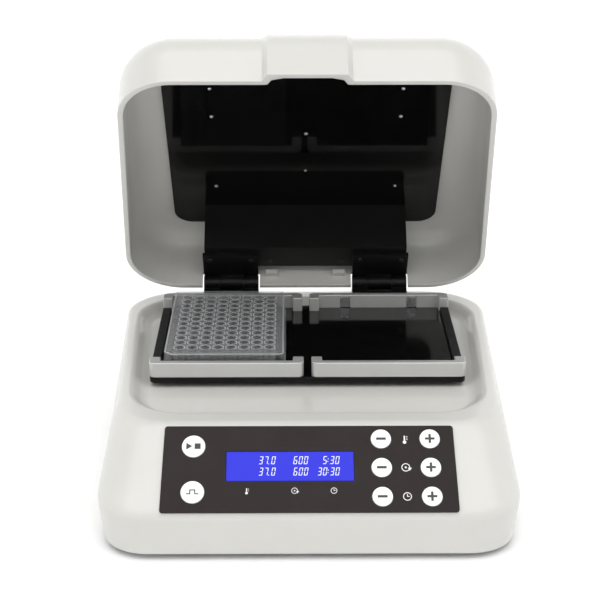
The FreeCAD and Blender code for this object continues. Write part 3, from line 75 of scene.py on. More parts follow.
def new_material(name):
    mat = bpy.data.materials.new(name)
    mat.use_nodes = True
    nodes = mat.node_tree.nodes
    nodes.clear()
    out = nodes.new("ShaderNodeOutputMaterial")
    shader = nodes.new("ShaderNodeBsdfPrincipled")
    mat.node_tree.links.new(shader.outputs[0], out.inputs["Surface"])
    return mat, nodes, mat.node_tree.links, shader


def finish_material(name, colour, rough, metallic=0.0, tint=0.05, tint_scale=40.0,
                    rough_spread=0.08, grain=900.0, grain_depth=0.02, stretch=None, coat=0.0,
                    **sockets):
    """A surface with a slow drift of colour and gloss and a fine moulded or brushed relief.

    Further keywords are inputs of the shader, with _ for a space.
    """
    mat, nodes, links, shader = new_material(name)
    coord = nodes.new("ShaderNodeTexCoord")
    place = coord.outputs["Object"]
    slow = nodes.new("ShaderNodeTexNoise")
    slow.inputs["Scale"].default_value = tint_scale
    slow.inputs["Detail"].default_value = 5.0
    slow.inputs["Roughness"].default_value = 0.6
    links.new(place, slow.inputs["Vector"])
    ramp = nodes.new("ShaderNodeValToRGB")
    dark = [max(0.0, c * (1 - tint)) for c in colour]
    light = [min(1.0, c * (1 + tint)) for c in colour]
    ramp.color_ramp.elements[0].position = 0.3
    ramp.color_ramp.elements[0].color = (*dark, 1)
    ramp.color_ramp.elements[1].position = 0.7
    ramp.color_ramp.elements[1].color = (*light, 1)
    links.new(slow.outputs["Fac"], ramp.inputs["Fac"])
    links.new(ramp.outputs["Color"], shader.inputs["Base Color"])
    spread = nodes.new("ShaderNodeMapRange")
    spread.inputs["To Min"].default_value = max(0.02, rough - rough_spread)
    spread.inputs["To Max"].default_value = min(1.0, rough + rough_spread)
    smear = nodes.new("ShaderNodeTexNoise")
    smear.inputs["Scale"].default_value = tint_scale * 3
    smear.inputs["Detail"].default_value = 3.0
    links.new(place, smear.inputs["Vector"])
    links.new(smear.outputs["Fac"], spread.inputs["Value"])
    links.new(spread.outputs["Result"], shader.inputs["Roughness"])
    fine = nodes.new("ShaderNodeTexNoise")
    fine.inputs["Scale"].default_value = grain
    fine.inputs["Detail"].default_value = 2.0
    if stretch:
        mapping = nodes.new("ShaderNodeMapping")
        mapping.inputs["Scale"].default_value = stretch
        links.new(place, mapping.inputs["Vector"])
        links.new(mapping.outputs["Vector"], fine.inputs["Vector"])
    else:
        links.new(place, fine.inputs["Vector"])
    bump = nodes.new("ShaderNodeBump")
    bump.inputs["Strength"].default_value = min(1.0, grain_depth * 10)
    bump.inputs["Distance"].default_value = 0.00002
    links.new(fine.outputs["Fac"], bump.inputs["Height"])
    links.new(bump.outputs["Normal"], shader.inputs["Normal"])
    shader.inputs["Metallic"].default_value = metallic
    shader.inputs["Coat Weight"].default_value = coat
    for socket, value in sockets.items():
        shader.inputs[socket.replace("_", " ")].default_value = value
    return mat


def glowing(name, colour, strength):
    """A lit display surface: it glows evenly, with a faint cell structure."""
    mat, nodes, links, shader = new_material(name)
    coord = nodes.new("ShaderNodeTexCoord")
    cells = nodes.new("ShaderNodeTexVoronoi")
    cells.inputs["Scale"].default_value = 1400.0
    links.new(coord.outputs["Object"], cells.inputs["Vector"])
    ramp = nodes.new("ShaderNodeValToRGB")
    ramp.color_ramp.elements[0].color = (*[c * 0.94 for c in colour], 1)
    ramp.color_ramp.elements[1].color = (*colour, 1)
    links.new(cells.outputs["Distance"], ramp.inputs["Fac"])
    links.new(ramp.outputs["Color"], shader.inputs["Emission Color"])
    shader.inputs["Emission Strength"].default_value = strength
    shader.inputs["Base Color"].default_value = (*[c * 0.1 for c in colour], 1)
    shader.inputs["Roughness"].default_value = 0.25
    shader.inputs["Specular IOR Level"].default_value = 0.2
    return mat


def clear_plastic(name, colour, rough, flat, edge):
    """Thin clear walls: nearly see-through face on, brighter and denser at their edges."""
    mat, nodes, links, shader = new_material(name)
    coord = nodes.new("ShaderNodeTexCoord")
    haze = nodes.new("ShaderNodeTexNoise")
    haze.inputs["Scale"].default_value = 120.0
    haze.inputs["Detail"].default_value = 4.0
    links.new(coord.outputs["Object"], haze.inputs["Vector"])
    spread = nodes.new("ShaderNodeMapRange")
    spread.inputs["To Min"].default_value = rough * 0.6
    spread.inputs["To Max"].default_value = rough * 1.5
    links.new(haze.outputs["Fac"], spread.inputs["Value"])
    links.new(spread.outputs["Result"], shader.inputs["Roughness"])
    ramp = nodes.new("ShaderNodeValToRGB")
    ramp.color_ramp.elements[0].color = (*[c * 0.94 for c in colour], 1)
    ramp.color_ramp.elements[1].color = (*colour, 1)
    links.new(haze.outputs["Fac"], ramp.inputs["Fac"])
    links.new(ramp.outputs["Color"], shader.inputs["Base Color"])
    facing = nodes.new("ShaderNodeLayerWeight")
    facing.inputs["Blend"].default_value = 0.35
    density = nodes.new("ShaderNodeMapRange")
    density.inputs["To Min"].default_value = flat
    density.inputs["To Max"].default_value = edge
    links.new(facing.outputs["Facing"], density.inputs["Value"])
    links.new(density.outputs["Result"], shader.inputs["Alpha"])
    shader.inputs["IOR"].default_value = 1.57
    return mat


WHITE = finish_material("moulded_white", (0.575, 0.570, 0.541), 0.34, tint=0.012, rough_spread=0.04,
                        grain=800.0, grain_depth=0.006, coat=0.38, Coat_Roughness=0.06)
BROWN = finish_material("overlay_brown", (0.0215, 0.0160, 0.0155), 0.48, tint=0.08, grain=2600.0,
                        grain_depth=0.03, Specular_IOR_Level=0.15)
KEY = finish_material("key_white", (0.88, 0.88, 0.87), 0.38, tint=0.012, grain=2000.0,
                      grain_depth=0.01)
INK = finish_material("print_dark", (0.03, 0.028, 0.03), 0.45, tint=0.1, grain=2600.0,
                      grain_depth=0.02)
PALE_INK = finish_material("print_pale", (0.80, 0.80, 0.78), 0.45, tint=0.04, grain=2600.0,
                           grain_depth=0.02)
BLUE = glowing("display_blue", (0.030, 0.036, 0.80), 0.92)
DIGIT = glowing("display_digit", (0.95, 0.96, 1.0), 1.0)
FENCE = finish_material("fence_aluminium", (0.56, 0.56, 0.55), 0.36, metallic=0.55, tint=0.03,
                        grain=700.0, grain_depth=0.03, stretch=(0.06, 1.0, 1.0))
GLOSS_BLACK = finish_material("gloss_black", (0.003, 0.003, 0.003), 0.06, tint=0.3,
                              rough_spread=0.03, grain=300.0, grain_depth=0.002,
                              Specular_IOR_Level=0.3)
TRAY_BLACK = finish_material("tray_black", (0.003, 0.003, 0.003), 0.10, tint=0.3, rough_spread=0.04,
                             grain=900.0, grain_depth=0.004, Specular_IOR_Level=0.2)
SATIN_BLACK = finish_material("satin_black", (0.005, 0.005, 0.005), 0.36, tint=0.25, grain=1800.0,
                              grain_depth=0.02, Specular_IOR_Level=0.2)
MATTE_BLACK = finish_material("matte_black", (0.008, 0.008, 0.008), 0.55, tint=0.2, grain=1600.0,
                              grain_depth=0.04, Specular_IOR_Level=0.2)
OXIDE = finish_material("black_oxide_screw", (0.06, 0.06, 0.06), 0.38, metallic=1.0, tint=0.1,
                        grain=2000.0, grain_depth=0.02)
STEEL = finish_material("screw_steel", (0.62, 0.62, 0.63), 0.28, metallic=1.0, tint=0.08,
                        grain=2200.0, grain_depth=0.02)
PLATE_STEEL = finish_material("zinc_plate", (0.55, 0.56, 0.57), 0.42, metallic=1.0, tint=0.12,
                              tint_scale=90.0, grain=500.0, grain_depth=0.03,
                              stretch=(0.05, 1.0, 1.0))
RUBBER = finish_material("foot_rubber", (0.022, 0.022, 0.022), 0.75, tint=0.2, grain=1200.0,
                         grain_depth=0.08)
ALUMINIUM = finish_material("machined_aluminium", (0.74, 0.75, 0.76), 0.32, metallic=1.0, tint=0.05,
                            grain=900.0, grain_depth=0.03, stretch=(1.0, 0.05, 1.0))
BRASS = finish_material("brass", (0.65, 0.46, 0.18), 0.3, metallic=1.0, tint=0.08, grain=1500.0,
                        grain_depth=0.02)
BOARD = finish_material("circuit_board", (0.02, 0.12, 0.05), 0.35, tint=0.25, tint_scale=200.0,
                        grain=900.0, grain_depth=0.02)
IRON = finish_material("laminated_iron", (0.12, 0.12, 0.125), 0.5, metallic=0.6, tint=0.15,
                       grain=1100.0, grain_depth=0.05, stretch=(0.1, 0.1, 1.0))
SILICONE = finish_material("heater_silicone", (0.30, 0.07, 0.035), 0.6, tint=0.1, grain=700.0,
                           grain_depth=0.06)
MOTOR = finish_material("motor_paint", (0.03, 0.03, 0.033), 0.4, metallic=0.2, tint=0.15,
                        grain=900.0, grain_depth=0.05)
CLEAR = clear_plastic("clear_polystyrene", (0.50, 0.51, 0.52), 0.10, 0.04, 0.40)
# a paler, denser copy of the clear plastic for the tops of the wells and the plate's upper edge: a
# painted highlight
CLEAR_PAINTED_HIGHLIGHT = clear_plastic("clear_polystyrene_painted_highlight", (0.78, 0.79, 0.80), 0.12, 0.14, 0.70)

# finish of each material slot in the record
RECORD_MATERIAL = {
    "housing_white": WHITE, "steel_plate": PLATE_STEEL, "foot_rubber": RUBBER,
    "screw_steel": STEEL, "panel_brown": BROWN, "key_white": KEY, "display_blue": BLUE,
    "display_frame": MATTE_BLACK, "circuit_board": BOARD, "laminated_iron": IRON,
    "black_plastic": MATTE_BLACK, "rocker_black": SATIN_BLACK, "machined_aluminium": ALUMINIUM,
    "brass_post": BRASS, "bearing_steel": STEEL, "motor_shell": MOTOR, "shaft_steel": STEEL,
    "black_anodised": TRAY_BLACK, "heater_silicone": SILICONE, "fence_aluminium": FENCE,
    "spring_steel": STEEL, "clear_polystyrene": CLEAR, "hinge_black": SATIN_BLACK,
    "heater_plate_black": GLOSS_BLACK,
}
NODE_SLOT = {row["node"]: row["material_slot"] for row in frame["record"]["subparts"]}
NODE_BODY = {node: body for body, names in frame["record"]["behaviour"]["bodies"].items()
             for node in names}
for node, obj in frame["nodes"].items():
    obj.data.materials.clear()
    obj.data.materials.append(RECORD_MATERIAL[NODE_SLOT[node]])
    obj.data.shade_smooth()
    obj.data.set_sharp_from_angle(angle=math.radians(28))


# ---- building pieces ----

def piece(name, bm, material, body, nodes=(), slot=None, at=None, sharp=32.0, merge=1e-4):
    """Turn a millimetre mesh into a piece that rides on a body."""
    if merge:
        bmesh.ops.remove_doubles(bm, verts=bm.verts, dist=merge)
    bmesh.ops.recalc_face_normals(bm, faces=bm.faces)
    mesh = bpy.data.meshes.new(name)
    bm.to_mesh(mesh)
    bm.free()
    mesh.transform(TO_FRAME @ (at or Matrix()))
    mesh.shade_smooth()
    mesh.set_sharp_from_angle(angle=math.radians(sharp))
    obj = bpy.data.objects.new(name, mesh)
    bpy.context.scene.collection.objects.link(obj)
    mesh.materials.append(material)
    even = obj.modifiers.new("even_normals", "WEIGHTED_NORMAL")
    even.keep_sharp = True
    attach(obj, body)
    if nodes:
        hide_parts(*nodes)
        slot = slot or NODE_SLOT[nodes[0]]
    return obj


def soften(corners, steps=8, closed=True):
    """Polyline through (x, y, radius) corners with an arc of that radius at each."""
    points = []
    count = len(corners)
    for i, (x, y, radius) in enumerate(corners):
        here = Vector((x, y))
        if not closed and i in (0, count - 1) or radius <= 0:
            points.append(here)
            continue
        a = (Vector(corners[i - 1][:2]) - here).normalized()
        b = (Vector(corners[(i + 1) % count][:2]) - here).normalized()
        half = a.angle(b) / 2
        reach = radius / math.tan(half)
        centre = here + (a + b).normalized() * radius / math.sin(half)
        start, end = here + a * reach - centre, here + b * reach - centre
        turn = math.atan2(start.x * end.y - start.y * end.x, start.dot(end))
        for k in range(steps + 1):
            angle = turn * k / steps
            c, s = math.cos(angle), math.sin(angle)
            points.append(centre + Vector((start.x * c - start.y * s, start.x * s + start.y * c)))
    return points


def area(points):
    return sum(a.x * b.y - b.x * a.y for a, b in zip(points, points[1:] + points[:1])) / 2


def wound(points, positive):
    return list(points) if (area(points) > 0) == positive else list(reversed(points))


def inset(points, distance):
    """Move a closed outline to its left by a distance, corner by corner."""
    moved = []
    count = len(points)
    for i, here in enumerate(points):
        before, after = here - points[i - 1], points[(i + 1) % count] - here
        n1 = Vector((-before.y, before.x)).normalized()
        n2 = Vector((-after.y, after.x)).normalized()
        middle = n1 + n2
        if middle.length < 1e-6:
            moved.append(here + n1 * distance)
            continue
        middle.normalize()
        moved.append(here + middle * distance / max(0.35, middle.dot(n1)))
    return moved


def circle(x, y, radius, steps=40):
    return [Vector((x + radius * math.cos(2 * math.pi * k / steps),
                    y + radius * math.sin(2 * math.pi * k / steps))) for k in range(steps)]


def rectangle(x0, x1, y0, y1, radius=0.0, steps=8):
    return soften([(x0, y0, radius), (x1, y0, radius), (x1, y1, radius), (x0, y1, radius)], steps)


def join_rings(bm, rings, closed=True):
    for low, high in zip(rings, rings[1:]):
        count = len(low)
        for i in range(count if closed else count - 1):
            j = (i + 1) % count
            bm.faces.new((low[i], low[j], high[j], high[i]))


def slab(bm, outlines, low, high, edge=0.4, steps=3, under=None):
    """A plate of even thickness with rounded edges; the first outline is its outside."""
    under = edge if under is None else under
    outlines = [wound(o, i == 0) for i, o in enumerate(outlines)]
    profile = []
    for k in range(steps + 1):
        angle = math.pi / 2 * k / steps
        profile.append((under * (1 - math.sin(angle)), low + under * (1 - math.cos(angle))))
    for k in range(steps + 1):
        angle = math.pi / 2 * k / steps
        profile.append((edge * (1 - math.cos(angle)), high - edge * (1 - math.sin(angle))))
    if under == 0:
        profile = profile[steps:]
    if edge == 0:
        profile = profile[:-steps]
    ends = []
    for outline in outlines:
        rings = [[bm.verts.new((*p, z)) for p in inset(outline, d)] for d, z in profile]
        join_rings(bm, rings)
        ends.append((rings[0], rings[-1]))
    for which, flip in ((0, True), (1, False)):
        loops = [end[which] for end in ends]
        flat = [v for loop in loops for v in loop]
        for tri in tessellate_polygon([[v.co.copy() for v in loop] for loop in loops]):
            corners = [flat[i] for i in tri]
            if len(set(corners)) == 3:
                try:
                    bm.faces.new(reversed(corners) if flip else corners)
                except ValueError:
                    pass
    return bm


def block(outlines, low, high):
    """A plain sharp-edged cutter."""
    return slab(bmesh.new(), outlines, low, high, 0.0, under=0.0)


def turned(bm, profile, x=0.0, y=0.0, steps=48):
    """A body of revolution from (radius, height) points that start and end on its axis."""
    rings = []
    for radius, height in profile:
        if radius < 1e-6:
            rings.append([bm.verts.new((x, y, height))])
        else:
            rings.append([bm.verts.new((x + radius * math.cos(2 * math.pi * k / steps),
                                        y + radius * math.sin(2 * math.pi * k / steps), height))
                          for k in range(steps)])
    for low, high in zip(rings, rings[1:]):
        for k in range(steps):
            j = (k + 1) % steps
            if len(low) == 1 and len(high) > 1:
                bm.faces.new((low[0], high[j], high[k]))
            elif len(high) == 1 and len(low) > 1:
                bm.faces.new((low[k], low[j], high[0]))
            elif len(low) > 1:
                bm.faces.new((low[k], low[j], high[j], high[k]))
    return bm


def turned_piece(name, profile, material, body, steps=48, at=None, **options):
    return piece(name, turned(bmesh.new(), profile, steps=steps), material, body, at=at, **options)


def slab_piece(name, outlines, low, high, material, body, edge=0.4, steps=3, at=None, under=None,
               **options):
    return piece(name, slab(bmesh.new(), outlines, low, high, edge, steps, under), material, body,
                 at=at, **options)


def carve(obj, cutters):
    """Cut millimetre meshes out of a finished piece."""
    for bm, at in cutters:
        bmesh.ops.recalc_face_normals(bm, faces=bm.faces)
        mesh = bpy.data.meshes.new("cutter_mesh")
        bm.to_mesh(mesh)
        bm.free()
        mesh.transform(TO_FRAME @ (at or Matrix()))
        tool = bpy.data.objects.new("cutter", mesh)
        bpy.context.scene.collection.objects.link(tool)
        modifier = obj.modifiers.new("cut", "BOOLEAN")
        modifier.object = tool
        modifier.operation = "DIFFERENCE"
        modifier.solver = "EXACT"
        obj.modifiers.move(len(obj.modifiers) - 1, 0)
        bpy.context.view_layer.update()
        graph = bpy.context.evaluated_depsgraph_get()
        others = [m for m in obj.modifiers if m != modifier]
        for other in others:
            other.show_viewport = False
        bpy.context.view_layer.update()
        made = bpy.data.meshes.new_from_object(obj.evaluated_get(graph))
        for other in others:
            other.show_viewport = True
        obj.modifiers.remove(modifier)
        obj.data = made
        bpy.data.objects.remove(tool)
    obj.data.shade_smooth()
    obj.data.set_sharp_from_angle(angle=math.radians(32))
    return obj


def bevelled(node, width, steps=2, material=None):
    """The CAD node's own shape with its sharp edges rounded, as a new piece."""
    source = frame["nodes"][node]
    bm = bmesh.new()
    bm.from_mesh(source.data)
    bm.transform(TO_FRAME.inverted())
    bmesh.ops.remove_doubles(bm, verts=bm.verts, dist=1e-3)
    bmesh.ops.dissolve_limit(bm, angle_limit=math.radians(0.6), verts=bm.verts, edges=bm.edges)
    edges = [e for e in bm.edges if len(e.link_faces) == 2
             and e.calc_face_angle(0.0) > math.radians(35.0)]
    bmesh.ops.bevel(bm, geom=edges, offset=width, segments=steps, profile=0.6, affect="EDGES",
                    clamp_overlap=True)
    return piece(node + "_shape", bm, material or RECORD_MATERIAL[NODE_SLOT[node]],
                 NODE_BODY[node], [node], sharp=40.0, merge=1e-3)


def ring_outline(front, rear, front_half, rear_half, front_corner, rear_corner, steps=14, marks=()):
    """Outline of the housing or hood, with extra points on its front edge at the marks."""
    points = soften([(front_half, -front, front_corner), (rear_half, rear, rear_corner),
                     (-rear_half, rear, rear_corner), (-front_half, -front, front_corner)], steps)
    for x in marks:
        points.append(Vector((x, -front)))
    return points


def lifted(points, z):
    return [Vector((p.x, p.y, z)) for p in points]


def eased(a, corner, b, steps):
    """Rings that turn smoothly from ring a to ring b round the ring at the corner."""
    made = []
    for k in range(steps + 1):
        t = k / steps
        made.append([p * (1 - t) ** 2 + q * 2 * t * (1 - t) + r * t * t
                     for p, q, r in zip(a, corner, b)])
    return made


def smooth(t):
    t = min(1.0, max(0.0, t))
    return t * t * (3 - 2 * t)


def mixed(a, b, t):
    return [p.lerp(q, t) for p, q in zip(a, b)]


def loft(bm, rings, cap_first=False, cap_last=False):
    made = [[bm.verts.new(p) for p in ring] for ring in rings]
    join_rings(bm, made)
    if cap_first:
        bm.faces.new(list(reversed(made[0])))
    if cap_last:
        bm.faces.new(made[-1])
    return made


# ---- housing ----

# front and rear edge and half widths, in front and behind, then front and rear corner radius
TOP_EDGE = {"front": LAND_FRONT, "front_half": 126.3, "rear_half": 140.0, "front_corner": 34.0,
            "rear_corner": 45.0}
RECESS = (86.15, 128.25, 117.5, 129.5, 38.0, 38.0)


def housing():
    """Skirt, sloped front, land with its recess, and the inside down to the base plate."""
    bottom_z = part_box("housing")[0].z / MM
    half_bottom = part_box("base_plate")[1].x / MM + 0.7
    half_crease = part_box("housing")[1].x / MM - 1.4

    def section(z, inward=0.0, front=HALF_DEPTH, front_half=half_crease, rear_half=None,
                front_corner=31.0, rear_corner=44.0):
        rear_half = front_half if rear_half is None else rear_half
        return lifted(ring_outline(front - inward, HALF_DEPTH - inward, front_half - inward,
                                   rear_half - inward, front_corner - inward,
                                   rear_corner - inward), z)

    def top(inward, z):
        return section(z, inward, **TOP_EDGE)

    def recess(grow, z):
        return lifted(ring_outline(*[size + grow for size in RECESS]), z)

    skirt_low = section(bottom_z, front_half=half_bottom)
    crease = section(CREASE)
    rim = top(0.0, LAND)
    rings = eased(section(bottom_z, 1.6, front_half=half_bottom), skirt_low,
                  mixed(skirt_low, crease, 0.055), 4)
    rings += eased(mixed(skirt_low, crease, 0.84), crease, mixed(crease, rim, 0.11), 6)
    # the rear top edge is rounder than the sides
    upper, land_edge = mixed(crease, rim, 0.885), top(5.0, LAND)
    for p in upper:
        p.z -= 4.0 * smooth((p.y - 40) / 90)
    for p in land_edge:
        p.y -= 4.0 * smooth((p.y - 100) / 35)
    rings += eased(upper, rim, land_edge, 10)
    rings += eased(recess(2.0, LAND), recess(0.0, LAND), recess(-2.0, LAND - 1.6), 6)
    rings += eased(recess(-5.0, 69.4), recess(-8.4, RECESS_FLOOR), recess(-12.0, RECESS_FLOOR), 8)
    # the underside: recess floor, upstand and the inside of the walls
    inner_floor = RECESS_FLOOR - 2.5
    wall_top = mixed(section(CREASE, 3.0), top(3.0, LAND), 0.80)
    back = [recess(2.4, inner_floor), recess(2.5, inner_floor + 0.1), wall_top,
            section(CREASE, 3.0), section(bottom_z, 3.0, front_half=half_bottom)]
    bm = bmesh.new()
    made = loft(bm, rings, cap_last=True)
    under = loft(bm, back, cap_first=True)
    for i in range(len(made[0])):
        j = (i + 1) % len(made[0])
        bm.faces.new((made[0][i], under[-1][i], under[-1][j], made[0][j]))
    obj = piece("housing_shell", bm, WHITE, "base", ["housing"], sharp=38.0)
    # openings: mains inlet, power switch, fuse, four tray posts and the display
    facing = (Matrix.Translation((0, HALF_DEPTH - 6, 0))
              @ Matrix.Rotation(math.radians(-90), 4, "X"))
    rear_row = -36.0

    def rear_box(x, width, tall, radius):
        return rectangle(x - width / 2, x + width / 2, rear_row - tall / 2, rear_row + tall / 2,
                         radius)

    cutters = [(block([outline], 0.0, 12.0), facing)
               for outline in (rear_box(84.0, 28.0, 20.4, 1.0), rear_box(44.0, 19.4, 13.4, 0.6),
                               circle(16.0, rear_row, 6.3))]
    cutters += [(block([circle(x, TRAY_Y + y, 9.5)], 60.0, 70.0), None)
                for x in (-50, 50) for y in (-44, 44)]
    cutters.append((block([rectangle(*DISPLAY_OPENING, 0.5)], -6.0, 2.0), SLOPE))
    return carve(obj, cutters)


housing()


# ---- hood ----

TAB_HALF, TAB_PROUD, TAB_PROUD_HIGH = 28.4, 6.6, 3.9
HOOD_HEIGHT, HOOD_WALL, HOOD_FRONT_HALF, HOOD_REAR_HALF = 56.0, 4.0, 126.5, 140.2
# extra points across the hood's front, closer together where the tab steps out
TAB_MARKS = [-33.5, -32.0, -31.0, -30.0, -29.0, -28.0, -26.5, -24.0, -16.0, -8.0, 0.0,
             8.0, 16.0, 24.0, 26.5, 28.0, 29.0, 30.0, 31.0, 32.0, 33.5]


def hood_section(inward, z, proud=0.0, lift=0.0, half=TAB_HALF):
    """One ring of the hood; the finger tab pushes its middle forward by proud and up by lift."""
    ring = lifted(ring_outline(LAND_FRONT - inward, LID_REAR - inward,
                               HOOD_FRONT_HALF - inward, HOOD_REAR_HALF - inward,
                               max(0.6, 38.0 - inward), max(0.6, 43.0 - inward), 18, TAB_MARKS), z)
    for p in ring[-len(TAB_MARKS):]:
        share = smooth((half + 2.2 - abs(p.x)) / 4.4)
        p.y -= proud * share
        p.z += lift * share
    return ring


def tab_rise(angle):
    """How far the tab stands out of the hood's rounded edge, by the angle up that edge."""
    return (TAB_PROUD_HIGH - 1.2 * smooth(angle / (math.pi / 4))
            - 0.7 * smooth(angle / (math.pi / 2)))


def hood_wall(inset_by, radius, steps=16):
    """Rings from the rim to the middle of the top, at a distance inside the outer face."""
    top = RIM + HOOD_HEIGHT - inset_by
    half = TAB_HALF - inset_by
    centre_z = top - radius
    rings = []
    for k in range(7):
        t = k / 6
        rings.append(hood_section(inset_by, RIM + (centre_z - RIM) * t,
                                  proud=TAB_PROUD + (TAB_PROUD_HIGH - TAB_PROUD) * t, half=half))
    for k in range(1, steps + 1):
        angle = math.pi / 2 * k / steps
        rise = tab_rise(angle)
        rings.append(hood_section(inset_by + radius * (1 - math.cos(angle)),
                                  centre_z + radius * math.sin(angle),
                                  proud=rise * math.cos(angle), lift=rise * math.sin(angle),
                                  half=half))
    for k in range(1, 6):
        t = k / 5
        rings.append(hood_section(inset_by + radius + 9.0 * t, top,
                                  lift=tab_rise(math.pi / 2) * (1 - smooth(t)), half=half))
    return rings


def hood():
    """The moulded hood: inner wall, rounded rim and outer wall in one skin."""
    outer = hood_wall(0.0, 31.0)
    inner = hood_wall(HOOD_WALL, 23.5)
    edge = 0.9
    out_low = eased(hood_section(edge, RIM, TAB_PROUD), outer[0],
                    mixed(outer[0], outer[1], 0.17), 4)
    in_low = eased(mixed(inner[0], inner[1], 0.17), inner[0],
                   hood_section(HOOD_WALL - edge, RIM, TAB_PROUD, half=26.4), 4)
    bm = bmesh.new()
    rings = list(reversed(inner[1:])) + in_low + out_low + outer[1:]
    made = loft(bm, rings, cap_first=True, cap_last=True)
    obj = piece("hood_shell", bm, WHITE, "lid", ["lid_shell"], at=HOOD, sharp=42.0)
    # notches for the hinges
    facing = (HOOD @ Matrix.Translation((0, LID_REAR + 8, 0))
              @ Matrix.Rotation(math.radians(90), 4, "X"))
    return carve(obj, [(block([rectangle(x - 22.5, x + 22.5, RIM - 5, RIM + 13.0, 0.8, 4)], 0, 20),
                        facing) for x in (-HINGE_X, HINGE_X)])


hood()
PLATE_LOW = RIM + 49.6
plate_rear = LID_REAR - 20.8
slab_piece("heated_plate", [rectangle(-103.0, 103.0, plate_rear - 203.0, plate_rear, 14.0, 12)],
           PLATE_LOW, PLATE_LOW + 1.5, GLOSS_BLACK, "lid", edge=0.35, at=HOOD,
           nodes=["lid_heater_plate"])


def screw_set(name, places, radius, height, material, nodes):
    """Small domed screws whose heads hang below a hood part; places are x, reach from the
    hood's rear, and height."""
    bm = bmesh.new()
    profile = [(0, height - 0.45), (radius * 0.34, height - 0.45), (radius * 0.38, height),
               (radius * 0.7, height - 0.1), (radius * 0.93, height - 0.32), (radius, height - 0.6),
               (radius, 0.0), (radius * 0.45, 0.0), (radius * 0.45, -1.6), (0, -1.6)]
    for x, reach, z in places:
        turned(bm, [(r, z - h) for r, h in profile], x, LID_REAR - reach, 24)
    return piece(name, bm, material, "lid", nodes, at=HOOD)


screw_set("heated_plate_screws", [(side * 68.7, reach, PLATE_LOW) for side in (-1, 1)
                                  for reach in (67.6, 150.1, 180.5)]
          + [(0.0, 86.5, PLATE_LOW), (0.0, 130.5, PLATE_LOW)], 1.35, 0.8, STEEL,
          ["lid_plate_screws"])

# ---- hinges ----

SHELF, LEAF = RIM + 12.0, RIM + 9.0
screw_set("hinge_screws", [(x, 21.4, SHELF) for x in (-28.0, 28.0)]
          + [(side * x, 25.5, LEAF) for side in (-1, 1) for x in (42.5, 74.5)], 2.0, 0.9, OXIDE,
          ["lid_hinge_screws"])

# black pads on the housing under the hinges, and white bosses on the hood's shelf between them
pad_bm, boss_bm = bmesh.new(), bmesh.new()
for x in (-HINGE_X, HINGE_X):
    slab(pad_bm, [rectangle(x - 21.6, x + 21.6, 134.0, 147.3, 0.6, 3)], 71.5, 74.45, 0.3)
for x in (-26.5, 26.5):
    slab(boss_bm, [rectangle(x - 5.0, x + 5.0, 133.5, 138.6, 0.6, 3)], RIM + 8.4, SHELF, 0.3)
piece("hinge_pads", pad_bm, SATIN_BLACK, "base", slot="hinge_black")
piece("shelf_bosses", boss_bm, WHITE, "lid", slot="housing_white", at=HOOD)

# outlines drawn as (y, z) and run along x
UPRIGHT = Matrix(((0, 0, 1, 0), (1, 0, 0, 0), (0, 1, 0, 0), (0, 0, 0, 1)))


def hinge_arc(radius, degrees):
    return [Vector((HINGE.y + radius * math.cos(math.radians(a)),
                    HINGE.z + radius * math.sin(math.radians(a)))) for a in degrees]


def both_sides(name, outline, spans, edge, body, at):
    """The same flat shape at several places along the hinge axis, left and right."""
    bm = bmesh.new()
    for low, high in spans:
        slab(bm, [outline], low, high, edge, 1)
        slab(bm, [outline], -high, -low, edge, 1)
    return piece(name, bm, SATIN_BLACK, body, slot="hinge_black", at=at)


# flaps over the outer knuckles that close the hood's notches
both_sides("hinge_flaps", [Vector((135.8, 86.5)), Vector((135.8, 83.8))]
           + hinge_arc(6.4, range(151, 89, -6))
           + [Vector((HINGE.y, 87.5)), Vector((137.1, 87.5)), Vector((137.1, 86.5))],
           ((37.4, 48.84), (68.16, 79.6)), 0.1, "lid", HOOD @ UPRIGHT)
# thin friction washers between the knuckles
both_sides("hinge_washers", [Vector((HINGE.y - 7.0, 74.6)), Vector((HINGE.y - 7.0, 78.6))]
           + hinge_arc(5.9, range(156, -91, -12)) + [Vector((HINGE.y, 74.6))],
           ((48.53, 48.87), (68.13, 68.47)), 0.05, "base", UPRIGHT)
bevelled("hinge_cover", 0.5, steps=3)
bevelled("lid_hinges", 0.3)
bevelled("base_hinges", 0.3)
bevelled("hinge_pins", 0.3, material=OXIDE)

# ---- control panel ----

# keys: node, place along the slope's width, place up the slope
LARGE = [("start_stop_key", -73.6, 45.8), ("short_run_key", -73.6, 15.0)]
SMALL = [(word + end, x, 31.2 + (1 - row) * 19.4)
         for row, word in enumerate(("temperature", "speed", "time"))
         for end, x in (("_down_key", 46.0), ("_up_key", 77.2))]
outlines = [soften([(-94.1, 1.5, 2.0), (94.1, 1.5, 2.0), (92.3, 59.7, 2.0), (-92.3, 59.7, 2.0)], 8),
            rectangle(*DISPLAY_OPENING, 0.6, 4)]
outlines += [circle(x, u, 7.7, 56) for _, x, u in LARGE]
outlines += [circle(x, u, 6.75, 52) for _, x, u in SMALL]
slab_piece("panel_overlay", outlines, 0.0, 1.2, BROWN, "base", edge=0.22, under=0.0, at=SLOPE,
           nodes=["control_panel"])

